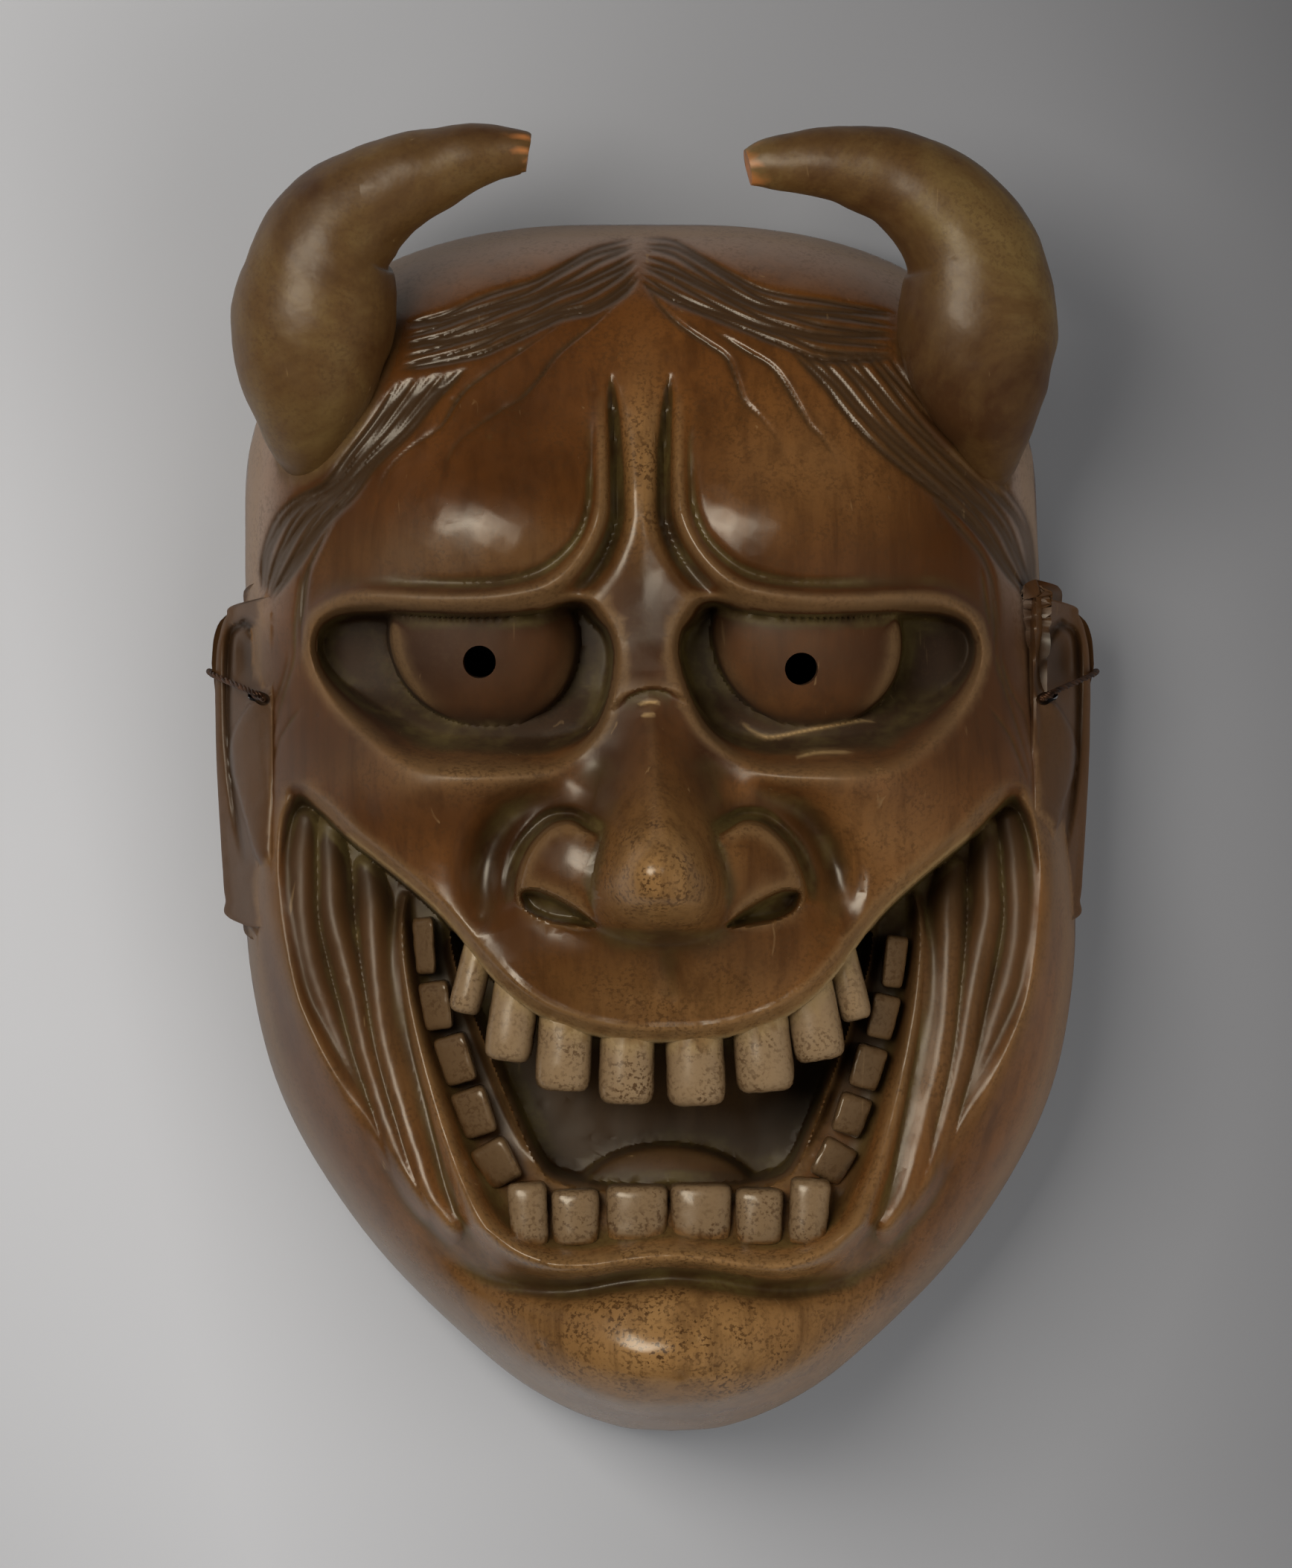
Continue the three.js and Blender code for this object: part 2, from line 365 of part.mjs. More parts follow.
function planOf(a, b, inset) {
  const c = a * Math.sqrt(1 - b * b / 2), d = b * Math.sqrt(1 - a * a / 2);
  const share = Math.min(Math.hypot(c, d), 1), angle = Math.atan2(d, c);
  const r = (outlineRadius(Math.atan2(Math.sin(angle), Math.abs(Math.cos(angle)))) - inset) * section(share);
  const y = CENTRE_Y + r * Math.sin(angle);
  return [r * Math.cos(angle) + driftAt(y), y];
}

// A closed body under a surface over the plan, with right-angled facets as large as the tolerance
// allows, and a flat underside at the level of its edge.
function sheetBody(point, steps, smallest, tolerance) {
  const size = steps + 1, spots = new Array(size * size), errors = new Float64Array(size * size);
  for (let j = 0; j < size; j += 1) {
    for (let i = 0; i < size; i += 1) spots[j * size + i] = point(2 * i / steps - 1, 2 * j / steps - 1, i, j);
  }
  const leaves = 2 * steps * steps;
  for (let n = leaves * 2 - 3; n >= 0; n -= 1) {
    let id = n + 2, ax = 0, ay = 0, bx = 0, by = 0, cx = 0, cy = 0;
    if (id & 1) { bx = steps; by = steps; cx = steps; } else { ax = steps; ay = steps; cy = steps; }
    while ((id >>= 1) > 1) {
      const mx = (ax + bx) >> 1, my = (ay + by) >> 1;
      if (id & 1) { bx = ax; by = ay; ax = cx; ay = cy; } else { ax = bx; ay = by; bx = cx; by = cy; }
      cx = mx; cy = my;
    }
    const mx = (ax + bx) >> 1, my = (ay + by) >> 1;
    if ((ax + bx) & 1 || (ay + by) & 1) continue;
    const a = spots[ay * size + ax], b = spots[by * size + bx], m = spots[my * size + mx];
    const long = Math.abs(ax - bx) + Math.abs(ay - by);
    if (long < 2 * smallest) continue;
    let error = Math.hypot(m[0] - (a[0] + b[0]) / 2, m[1] - (a[1] + b[1]) / 2, m[2] - (a[2] + b[2]) / 2);
    const left = errors[((ay + cy) >> 1) * size + ((ax + cx) >> 1)];
    const right = errors[((by + cy) >> 1) * size + ((bx + cx) >> 1)];
    if (n < leaves - 2) error = Math.max(error, left, right);
    errors[my * size + mx] = Math.max(errors[my * size + mx], error);
  }
  const triangles = [];
  const add = (ax, ay, bx, by, cx, cy) => {
    const mx = (ax + bx) >> 1, my = (ay + by) >> 1;
    if (Math.abs(ax - cx) + Math.abs(ay - cy) > 1 && errors[my * size + mx] > tolerance) {
      add(cx, cy, ax, ay, mx, my);
      add(bx, by, cx, cy, mx, my);
    } else triangles.push([ay * size + ax, by * size + bx, cy * size + cx]);
  };
  add(0, 0, steps, steps, steps, 0);
  add(steps, steps, 0, 0, 0, steps);
  const positions = [];
  const flat = ([x, y, z]) => positions.push(x, y, z);
  const turned = triangles.map(([a, b, c]) => {
    const p = spots[a], q = spots[b], r = spots[c];
    return (q[0] - p[0]) * (r[1] - p[1]) - (q[1] - p[1]) * (r[0] - p[0]) > 0;
  }).filter(Boolean).length * 2 > triangles.length;
  const edges = new Map();
  for (const [a, b, c] of triangles) {
    const t = turned ? [a, b, c] : [a, c, b];
    t.forEach((v) => flat(spots[v]));
    for (let k = 0; k < 3; k += 1) edges.set(`${t[k]}_${t[(k + 1) % 3]}`, [t[k], t[(k + 1) % 3]]);
  }
  const middle = [driftAt(CENTRE_Y), CENTRE_Y, spots[0][2]];
  for (const [a, b] of edges.values()) {
    if (!edges.has(`${b}_${a}`)) { flat(spots[b]); flat(spots[a]); flat(middle); }
  }
  return geometryFrom(positions);
}

function geometryFrom(positions) {
  const geometry = new THREE.BufferGeometry();
  geometry.setAttribute('position', new THREE.BufferAttribute(new Float32Array(positions), 3));
  return mergeVertices(geometry, 1e-4);
}

// A closed skin over rings of points, with a flat end at each side.
function skinned(rings) {
  const positions = [], n = rings[0].length;
  const middle = (ring) => ring.reduce((m, p) => m.map((v, k) => v + p[k] / n), [0, 0, 0]);
  for (let i = 0; i < rings.length - 1; i += 1) {
    for (let k = 0; k < n; k += 1) {
      const a = rings[i][k], b = rings[i][(k + 1) % n], c = rings[i + 1][(k + 1) % n], d = rings[i + 1][k];
      positions.push(...a, ...b, ...c, ...a, ...c, ...d);
    }
  }
  const first = middle(rings[0]), last = middle(rings[rings.length - 1]);
  for (let k = 0; k < n; k += 1) {
    positions.push(...rings[0][(k + 1) % n], ...rings[0][k], ...first);
    positions.push(...rings[rings.length - 1][k], ...rings[rings.length - 1][(k + 1) % n], ...last);
  }
  return geometryFrom(positions);
}

// A round body along a line of points with a radius at each.
function swept(path, sides, closed = false) {
  const n = path.length, rings = [];
  for (let i = 0; i < n; i += 1) {
    const here = new THREE.Vector3(...path[i]);
    const before = new THREE.Vector3(...path[closed ? (i + n - 1) % n : Math.max(i - 1, 0)]);
    const after = new THREE.Vector3(...path[closed ? (i + 1) % n : Math.min(i + 1, n - 1)]);
    const along = after.sub(before).normalize();
    const side = new THREE.Vector3(along.y, -along.x, 0).normalize();
    if (closed) side.set(0, 1, 0).addScaledVector(along, -along.y).normalize();
    const up = new THREE.Vector3().crossVectors(side, along);
    rings.push(Array.from({ length: sides }, (_, k) => {
      const turn = 2 * Math.PI * k / sides;
      return here.clone().addScaledVector(side, path[i][3] * Math.cos(turn))
        .addScaledVector(up, path[i][3] * Math.sin(turn)).toArray();
    }));
  }
  if (!closed) return skinned(rings);
  const positions = [];
  for (let i = 0; i < n; i += 1) {
    for (let k = 0; k < sides; k += 1) {
      const a = rings[i][k], b = rings[i][(k + 1) % sides];
      const c = rings[(i + 1) % n][(k + 1) % sides], d = rings[(i + 1) % n][k];
      positions.push(...a, ...b, ...c, ...a, ...c, ...d);
    }
  }
  return geometryFrom(positions);
}

const wasm = await Module();
wasm.setup();

function solid(geometry) {
  const clean = geometry.clone();
  clean.deleteAttribute('normal');
  clean.deleteAttribute('uv');
  const merged = mergeVertices(clean, 1e-4);
  const build = (order) => new wasm.Manifold(new wasm.Mesh({
    numProp: 3, vertProperties: new Float32Array(merged.attributes.position.array), triVerts: order,
  }));
  const order = new Uint32Array(merged.index.array);
  const body = build(order);
  if (body.volume() > 0) return body;
  for (let i = 0; i < order.length; i += 3) [order[i], order[i + 1]] = [order[i + 1], order[i]];
  return build(order);
}

function horn(points) {
  return solid(swept(points, HORN_SIDES));
}

// An ear: a sloping slab with a raised rim, a hollow shell and the flap in front of it.
function ear(side) {
  const rows = 15, columns = 5, top = EAR_EDGE[0][0], bottom = EAR_EDGE[EAR_EDGE.length - 1][0];
  const front = [], back = [];
  for (let j = 0; j <= rows; j += 1) {
    const y = top + (bottom - top) * (0.5 - 0.5 * Math.cos(Math.PI * j / rows));
    const edge = earEdge(y);
    front.push([]);
    back.push([]);
    for (let i = 0; i <= columns; i += 1) {
      const x = EAR_ROOT + (edge - EAR_ROOT) * (1 - (1 - i / columns) ** 1.5);
      const plane = EAR_HIGH + (EAR_LOW - EAR_HIGH) * (x - EAR_START) / (EAR_END - EAR_START);
      const shell = -4.5 * Math.exp(-(((x - EAR_SHELL[0]) / 3.6) ** 2) - ((y - EAR_SHELL[1]) / 7) ** 2);
      const rim = 1.2 * Math.exp(-(((edge - x) / 1.2) ** 2));
      const flap = y < 20 && y > -20 ? 7 * (1 - smooth(-1.2, 0.4, x - earFlap(y))) : 0;
      let z = plane + shell + rim + flap * smooth(-20, -12, y) * smooth(20, 14, y);
      const root = 1 - smooth(EAR_START, EAR_START + 3, x);
      z += (Math.min(z, carved(side * x, y) - 2) - z) * root;
      front[j].push([side * x, y, z]);
      back[j].push([side * x, y, Math.max(Math.min(plane - EAR_THICKNESS, z - 3), 2)]);
    }
  }
  const positions = [];
  const quad = (a, b, c, d) => positions.push(...a, ...b, ...c, ...a, ...c, ...d);
  for (let j = 0; j < rows; j += 1) {
    for (let i = 0; i < columns; i += 1) {
      quad(front[j][i], front[j + 1][i], front[j + 1][i + 1], front[j][i + 1]);
      quad(back[j][i], back[j][i + 1], back[j + 1][i + 1], back[j + 1][i]);
    }
    quad(front[j][0], back[j][0], back[j + 1][0], front[j + 1][0]);
    quad(front[j][columns], front[j + 1][columns], back[j + 1][columns], back[j][columns]);
  }
  for (let i = 0; i < columns; i += 1) {
    quad(front[0][i], front[0][i + 1], back[0][i + 1], back[0][i]);
    quad(front[rows][i], back[rows][i], back[rows][i + 1], front[rows][i + 1]);
  }
  return solid(geometryFrom(positions));
}

// A tooth: a block with its edges worn round.
function tooth([x, y, width, length, turn, high, low]) {
  const box = new THREE.BoxGeometry(2, 2, 2, 2, 2, 1);
  const p = box.attributes.position;
  for (let i = 0; i < p.count; i += 1) {
    const v = [p.getX(i), p.getY(i), p.getZ(i)];
    const worn = v.reduce((sum, c) => sum + Math.abs(c) ** 5, 0) ** 0.2;
    p.setXYZ(i, v[0] / worn * width / 2, v[1] / worn * length / 2, v[2] / worn * (high - low) / 2);
  }
  box.rotateZ(turn * Math.PI / 180);
  box.translate(x, y, (high + low) / 2);
  return solid(box);
}

// A straight bore between two points.
function bore(from, to, diameter) {
  const a = new THREE.Vector3(...from), b = new THREE.Vector3(...to), along = b.clone().sub(a);
  const rod = new THREE.CylinderGeometry(diameter / 2, diameter / 2, along.length(), 20);
  rod.applyQuaternion(new THREE.Quaternion().setFromUnitVectors(new THREE.Vector3(0, 1, 0), along.clone().normalize()));
  rod.translate(...a.add(b).multiplyScalar(0.5).toArray());
  return solid(rod);
}

// The hollow: the face seen from behind, a wall's thickness further in.
function hollow() {
  const cell = 1.6, reach = Math.ceil(WALL / cell);
  const columns = Math.ceil(176 / cell), rows = Math.ceil(256 / cell), left = -88, foot = -138;
  const outer = new Float64Array((columns + 1) * (rows + 1));
  for (let j = 0; j <= rows; j += 1) {
    for (let i = 0; i <= columns; i += 1) outer[j * (columns + 1) + i] = carved(left + i * cell, foot + j * cell);
  }
  const inner = new Float64Array(outer.length);
  for (let j = 0; j <= rows; j += 1) {
    for (let i = 0; i <= columns; i += 1) {
      let low = Infinity;
      for (let b = -reach; b <= reach; b += 1) {
        for (let a = -reach; a <= reach; a += 1) {
          const d = (a * a + b * b) * cell * cell;
          const ii = i + a, jj = j + b;
          if (d > WALL * WALL || ii < 0 || jj < 0 || ii > columns || jj > rows) continue;
          low = Math.min(low, outer[jj * (columns + 1) + ii] - Math.sqrt(WALL * WALL - d));
        }
      }
      inner[j * (columns + 1) + i] = low;
    }
  }
  const soft = Float64Array.from(inner);
  for (let j = 2; j < rows - 1; j += 1) {
    for (let i = 2; i < columns - 1; i += 1) {
      let sum = 0;
      for (let b = -2; b <= 2; b += 1) for (let a = -2; a <= 2; a += 1) sum += inner[(j + b) * (columns + 1) + i + a];
      soft[j * (columns + 1) + i] = Math.min(sum / 25, inner[j * (columns + 1) + i]);
    }
  }
  const read = (x, y) => {
    const fx = clamp((x - left) / cell, 0, columns - 1e-6), fy = clamp((y - foot) / cell, 0, rows - 1e-6);
    const i = Math.floor(fx), j = Math.floor(fy), a = fx - i, b = fy - j, w = columns + 1;
    return (soft[j * w + i] * (1 - a) + soft[j * w + i + 1] * a) * (1 - b)
      + (soft[(j + 1) * w + i] * (1 - a) + soft[(j + 1) * w + i + 1] * a) * b;
  };
  const steps = 32;
  return solid(sheetBody((a, b, i, j) => {
    const [x, y] = planOf(a, b, RIM);
    const edge = i === 0 || j === 0 || i === steps || j === steps;
    const u = Math.abs(x - driftAt(y)), d = Math.hypot(u - EYE_AT[0], y - EYE_AT[1] + 8);
    const pit = Math.max(0, WALL - EYE_WALL) * (1 - smooth(8, 15, d));
    return [x, y, edge ? -3 : Math.max(read(x, y) + pit, -1.5)];
  }, steps, 1, HOLLOW_TOLERANCE));
}

// The points of an ear's wire: in at the hole, over the ear, round its edge and back behind it.
const CORD_FROM = [78.4, 16.6, 47], CORD_TO = [87, 19.6, 6.5];
const inHole = (t) => CORD_FROM.map((v, k) => v + t * (CORD_TO[k] - v));
const WIRE_PATH = [inHole(0.1235), [79.1, 17.3, 45.2], [80.6, 18, 45.8], [83.4, 19.2, 40.6], [86.9, 20.6, 31],
  [90.2, 22, 22.4], [92.3, 22.8, 15.6], [92.4, 22.8, 9.6], [91, 22, 5.4], [88.6, 21, 3.6], [87.1, 20, 5.2],
  inHole(0.948)];

function wireLoop(side) {
  const curve = new THREE.CatmullRomCurve3(WIRE_PATH.map((p) => new THREE.Vector3(side * p[0], p[1], p[2])), true);
  const path = curve.getSpacedPoints(34).slice(0, -1).map((p) => [p.x, p.y, p.z, WIRE / 2]);
  return swept(path, 6, true);
}

function facePoint(a, b, i, j) {
  const [x, y] = planOf(a, b, 0);
  const edge = i === 0 || j === 0 || i === SHEET_STEPS || j === SHEET_STEPS;
  if (edge) return [x, y, 0];
  // near the rim the section is too steep to even out
  return [x, y, Math.hypot(a, b) > 1.2 || Math.max(Math.abs(a), Math.abs(b)) > 0.9 ? cut(x, y) : carved(x, y)];
}

const mirrored = ([x, y, z]) => [-x, y, z];
const face = solid(sheetBody(facePoint, SHEET_STEPS, SMALLEST_STEP, CARVING_TOLERANCE));
let block = face.add(horn(HORN_LEFT)).add(horn(HORN_RIGHT)).add(ear(-1)).add(ear(1));
for (const one of TEETH) block = block.add(tooth(one));
block = block.subtract(hollow());
for (const [x, y] of [EYE_HOLE_LEFT, EYE_HOLE_RIGHT]) {
  block = block.subtract(bore([x * 0.985, y + 1.4, EYE_BORE[0]], [x * 1.006, y - 0.7, EYE_BORE[1]], EYE_HOLE));
}
block = block.subtract(bore(CORD_FROM, CORD_TO, CORD_HOLE)).subtract(bore(mirrored(CORD_FROM), mirrored(CORD_TO), CORD_HOLE));

function meshOf(body) {
  const raw = body.getMesh();
  const geometry = new THREE.BufferGeometry();
  const positions = new Float32Array(raw.numVert * 3);
  for (let i = 0; i < raw.numVert; i += 1) {
    for (let k = 0; k < 3; k += 1) positions[3 * i + k] = raw.vertProperties[raw.numProp * i + k];
  }
  geometry.setAttribute('position', new THREE.BufferAttribute(positions, 3));
  geometry.setIndex(new THREE.BufferAttribute(new Uint32Array(raw.triVerts), 1));
  geometry.computeVertexNormals();
  return geometry;
}

const wood = new THREE.MeshStandardMaterial({ color: 0x5a3420, roughness: 0.35, metalness: 0 });
const wire = new THREE.MeshStandardMaterial({ color: 0x3a241a, roughness: 0.5, metalness: 0.6 });

const group = new THREE.Group();
const maskMesh = new THREE.Mesh(meshOf(block), wood);
maskMesh.name = 'hannya_mask';
group.add(maskMesh);
for (const [side, name] of [[-1, 'ear_wire_left'], [1, 'ear_wire_right']]) {
  const geometry = meshOf(solid(wireLoop(side)));
  const mesh = new THREE.Mesh(geometry, wire);
  mesh.name = name;
  group.add(mesh);
}

export default group;
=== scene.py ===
"""A carved wooden hannya mask lying face up. Metres in Blender; carving sizes are written in millimetres."""
import math

import bpy
import numpy as np
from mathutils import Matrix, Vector


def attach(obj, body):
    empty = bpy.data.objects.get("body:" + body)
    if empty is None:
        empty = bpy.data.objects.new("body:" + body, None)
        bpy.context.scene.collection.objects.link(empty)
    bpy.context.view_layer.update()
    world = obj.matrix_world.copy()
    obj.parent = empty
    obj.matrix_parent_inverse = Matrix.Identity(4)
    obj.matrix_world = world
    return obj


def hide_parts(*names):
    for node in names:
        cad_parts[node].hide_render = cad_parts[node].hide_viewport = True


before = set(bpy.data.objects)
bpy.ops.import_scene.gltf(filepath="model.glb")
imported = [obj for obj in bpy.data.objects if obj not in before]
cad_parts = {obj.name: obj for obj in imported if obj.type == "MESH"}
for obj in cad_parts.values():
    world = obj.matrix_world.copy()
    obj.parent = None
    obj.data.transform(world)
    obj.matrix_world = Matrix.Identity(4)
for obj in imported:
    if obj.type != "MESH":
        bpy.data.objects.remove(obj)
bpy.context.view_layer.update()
MM = 0.001

# The view: straight down on the lying mask, from about an arm's length and a half,
# with the horns towards the top of the picture.
CAMERA_HEIGHT = 1.6
PIXEL_AT_RIM = 0.155 * MM          # size of one pixel of the photograph at the back rim
PHOTO_WIDTH, PHOTO_HEIGHT = 1736, 2107
PHOTO_ORIGIN = (877, 1051)         # where the mask's origin lies in the photograph
bpy.ops.object.camera_add(location=((PHOTO_WIDTH / 2 - PHOTO_ORIGIN[0]) * PIXEL_AT_RIM,
                                    (PHOTO_ORIGIN[1] - PHOTO_HEIGHT / 2) * PIXEL_AT_RIM, CAMERA_HEIGHT))
camera = bpy.context.object
camera.data.sensor_fit = "AUTO"
camera.data.sensor_width = 36
camera.data.lens = 18 * CAMERA_HEIGHT / (PHOTO_HEIGHT / 2 * PIXEL_AT_RIM)
camera.data.clip_end = 20
bpy.context.scene.camera = camera

# The head is one block of wood, carved in front and hollowed behind: forehead, brows, eyes,
# nose, cheeks, open mouth and chin. Its surface is worked out as a height over the plan.
HEAD_STEPS = ((660, 792))
HEAD_TRIANGLES = 188_000
BLOCK_RISE, BLOCK_POWER, CENTRE_Y = 74.0, 3.0, -8.0
OUTLINE = [
    (0, 115.4), (20, 115), (38, 112.3), (54, 106.5), (66, 97.5), (75.5, 84), (81, 68), (82, 48), (82.5, 24),
    (84, 0), (85.8, -25), (84.3, -45), (79.6, -64), (70.5, -82), (56.9, -100.3), (37, -119.4), (24, -128.2),
    (11, -133.2), (0, -134.2)]
DRIFT = [(-134, 3.8), (-95, 3.4), (-50, 2.2), (-3, 0.7), (32, -1.7), (115, -2.6)]


def through(points, at):
    """Reads a smooth curve through pairs of place and value."""
    p = np.array(sorted(points), float)
    t, f = p[:, 0], p[:, 1]
    slope = np.gradient(f, t)
    at = np.clip(at, t[0], t[-1])
    i = np.clip(np.searchsorted(t, at) - 1, 0, len(t) - 2)
    gap = t[i + 1] - t[i]
    s = (at - t[i]) / gap
    return ((1 + 2 * s) * (1 - s) ** 2 * f[i] + s * (1 - s) ** 2 * gap * slope[i]
            + s * s * (3 - 2 * s) * f[i + 1] + s * s * (s - 1) * gap * slope[i + 1])


def smooth(a, b, v):
    t = np.clip((v - a) / (b - a), 0, 1)
    return t * t * (3 - 2 * t)


def line(points, closed=False, steps=7):
    """Points along a smooth line; the columns after x and y go along."""
    p = np.array(points, float)
    n, out = len(p), []
    for i in range(n if closed else n - 1):
        b, c = p[i], p[(i + 1) % n]
        a = p[i - 1] if closed or i else 2 * b - c
        d = p[(i + 2) % n] if closed or i + 2 < n else 2 * c - b
        for k in range(steps):
            t = k / steps
            out.append(0.5 * (2 * b + (c - a) * t + (2 * a - 5 * b + 4 * c - d) * t * t
                              + (3 * b - a - 3 * c + d) * t ** 3))
    out.append(p[0] if closed else p[-1])
    return np.array(out)


def close_to(path, reach, x, y):
    low, high = path[:, :2].min(0) - reach, path[:, :2].max(0) + reach
    return np.nonzero((x > low[0]) & (x < high[0]) & (y > low[1]) & (y < high[1]))[0]


def nearest(path, x, y):
    """Distance to a line, and its other columns at the nearest point."""
    best, more = np.full(x.shape, 1e9), np.zeros((path.shape[1] - 2,) + x.shape)
    for a, b in zip(path[:-1], path[1:]):
        dx, dy = b[0] - a[0], b[1] - a[1]
        t = np.clip(((x - a[0]) * dx + (y - a[1]) * dy) / (dx * dx + dy * dy + 1e-12), 0, 1)
        d = (x - a[0] - t * dx) ** 2 + (y - a[1] - t * dy) ** 2
        closer = d < best
        best = np.where(closer, d, best)
        for k in range(len(more)):
            more[k] = np.where(closer, a[2 + k] + t * (b[2 + k] - a[2 + k]), more[k])
    return np.sqrt(best), more


def ridge(z, x, y, points, power=2.0):
    """Raises a ridge, or cuts a groove where the height is negative: x, y, height, width."""
    path = line(points)
    i = close_to(path, 2.6 * path[:, 3].max(), x, y)
    d, (h, w) = nearest(path, x[i], y[i])
    z[i] += h * np.exp(-(d / w) ** power)


def inside(x, y, points, reach=14):
    """Points near a closed line, how far inside it each lies, and how softly the edge turns there."""
    path = line(points, True)
    i = close_to(path, reach, x, y)
    d, (soft,) = nearest(path, x[i], y[i])
    within = np.zeros(len(i), bool)
    for a, b in zip(path[:-1], path[1:]):
        crossed = (a[1] > y[i]) != (b[1] > y[i])
        within ^= crossed & (x[i] < a[0] + (y[i] - a[1]) / (b[1] - a[1] + 1e-12) * (b[0] - a[0]))
    return i, np.where(within, d, -d), soft


def outline_radius(angle):
    path = line(OUTLINE, steps=12)
    a, r = np.arctan2(path[:, 1] - CENTRE_Y, path[:, 0]), np.hypot(path[:, 0], path[:, 1] - CENTRE_Y)
    order = np.argsort(a)
    return np.interp(angle, a[order], r[order])


SOCKET = [
    (14.5, 36.6, 1.0), (20.5, 34.8, .9), (28, 33.8, .9), (36, 33.6, .9), (45, 34.1, .9), (54, 34.9, .9),
    (60.5, 34.6, 1.0), (64.8, 32.8, 1.2), (67, 29, 1.5), (67.2, 25, 2.0), (65.6, 20, 3), (61.5, 13.5, 5),
    (54, 6.5, 6.5), (46.8, 2.5, 7), (35.2, 1.2, 7), (23.5, 1.6, 6.5), (16.1, 4.5, 5), (11, 9.5, 2.5),
    (8.0, 15.5, 1.6), (6.2, 22, 1.4), (5.8, 27.5, 1.6), (7.4, 32.4, 1.8), (10.4, 36.2, 1.6)]
MOUTH = [
    (72, -2.9, 1.5), (67.8, -5.8, 1.0), (62, -11.5, .9), (57, -15.5, .9), (51, -20.4, .9), (45.8, -25, .9),
    (41.8, -29.4, .9), (37.8, -34.6, .9), (34.2, -39.2, .9), (30.2, -43.2, .9), (25, -46.8, .9), (19, -49.4, .9),
    (12, -51.3, .9), (5, -52.1, .9), (0, -52.2, .9), (-4, -52, .9), (-4, -98.5, 3), (0, -98.5, 3),
    (9.6, -99.2, 3), (17, -100.5, 3), (26, -100.8, 3), (36, -98.2, 3), (44, -92.8, 3), (51.7, -84.8, 3),
    (56.5, -77.2, 2.5), (60.5, -68.9, 2.2), (64.9, -60.5, 2), (69.5, -51.4, 2), (73, -43, 1.8),
    (75.1, -33.1, 1.8), (76.3, -23.3, 1.8), (76.6, -14.1, 1.8), (75.4, -6.5, 1.8)]
CAVITY = [
    (42.8, -26, 1.1), (42.6, -30, .8), (42, -34.8, .7), (39.8, -42.3, .7), (37.1, -49.5, .7), (34.4, -56.8, .7),
    (31.8, -63.7, .7), (29.2, -70.4, .8), (26.6, -76, .8), (23.4, -79.8, 1), (17, -81.6, 1), (10, -82, 1),
    (0, -82, 1), (-4, -82, 1), (-4, -30, 1), (20, -28, 1)]
WING = [
    (11, -10.5, .8), (13.6, -8.9, .8), (17, -7.2, .8), (20.9, -7.8, .8), (24.8, -10.8, .9), (27.4, -14.6, 1),
    (28.8, -18.8, 1), (29, -22.2, 1), (27.6, -25.2, 1.1), (22, -28, 1.2), (14, -29.5, 1.3), (8, -24, 1.5),
    (8, -14, 1.5)]
NOSTRIL = [
    (12.8, -28.6, .5), (14.6, -26.2, .5), (17.8, -23.8, .5), (21.4, -21.9, .5), (24.6, -20.9, .5),
    (27.6, -21.2, .6), (28.2, -23, .7), (26.6, -25.7, .8), (22.8, -27.6, .8), (18, -28.6, .7)]
FURROW = [
    (5.9, 81.5, -.3, .5), (5.6, 77, -2.6, 1.0), (5.2, 72, -4, 1.3), (4.9, 66, -4.6, 1.6), (4.8, 59, -5, 1.8),
    (5.0, 52.5, -5.4, 2.0), (7.3, 46.3, -5.6, 2.3), (10.7, 41, -4.5, 2.4), (14, 37.6, -3, 2.2), (18, 35.6, -1.5, 1.8)]
ROLL = [
    (8.2, 76, .3, 1.4), (7.6, 70.6, 1.0, 1.6), (7.2, 61.7, 1.8, 1.7), (7.2, 56, 2.2, 1.8), (8.2, 50.6, 2.6, 1.9),
    (10.6, 45.8, 3.0, 2.0), (14.4, 41.6, 3.2, 2.0), (19.2, 38.6, 3.3, 2.0), (25, 37.1, 3.3, 2.0),
    (32.3, 36.3, 3.3, 2.0), (41.7, 36.3, 3.2, 2.0), (50, 36.8, 3, 2.0), (58, 36.9, 2.8, 2.1),
    (63, 35.2, 2.4, 2.1), (66.8, 31.8, 2, 2.1), (68.4, 26.5, 1.2, 2.2)]
ROLL_GROOVE = [
    (9.8, 72, 0, .8), (9.8, 66, -.6, .9), (10.0, 60, -1.1, 1), (10.8, 53.5, -1.4, 1), (13.2, 48, -1.5, 1.1),
    (18, 43.4, -1.5, 1.1), (23, 41, -1.5, 1.1), (29.5, 39.8, -1.3, 1.1), (37, 39.6, -.9, 1.1),
    (46, 39.8, -.3, 1.1), (52, 40, 0, 1.1)]
BROW_STRIP = [(0, 84, 0, 4), (0, 72, 1.5, 4), (0, 55, 1.6, 4.5), (0, 42, 0, 6)]
UNDER_EYE = [
    (12, -2, 0, 4), (17, -.2, 2, 4), (24, 1.2, 2.8, 4.2), (33, 1.6, 2.6, 4.6), (41, .2, 2, 5), (50, -1.4, 1.4, 6),
    (58, -3, 0, 7)]
CHEEK_VALLEY = [
    (12, 3, -1.5, 4), (22, -2.4, -2.5, 4), (30, -7.5, -5, 4.2), (34, -15, -6, 4.6), (34.5, -23, -4.5, 5),
    (33, -30, -1.5, 5)]
WING_GROOVE = [
    (11.5, -8.5, -.5, .9), (14.5, -7.3, -1.8, 1.0), (17.3, -6.2, -2.2, 1.1), (21.6, -6.8, -2.2, 1.1),
    (25.8, -10.2, -2.1, 1.1), (28.5, -14.2, -2, 1.2), (30, -18.8, -1.6, 1.3), (30.2, -23, -.8, 1.3)]
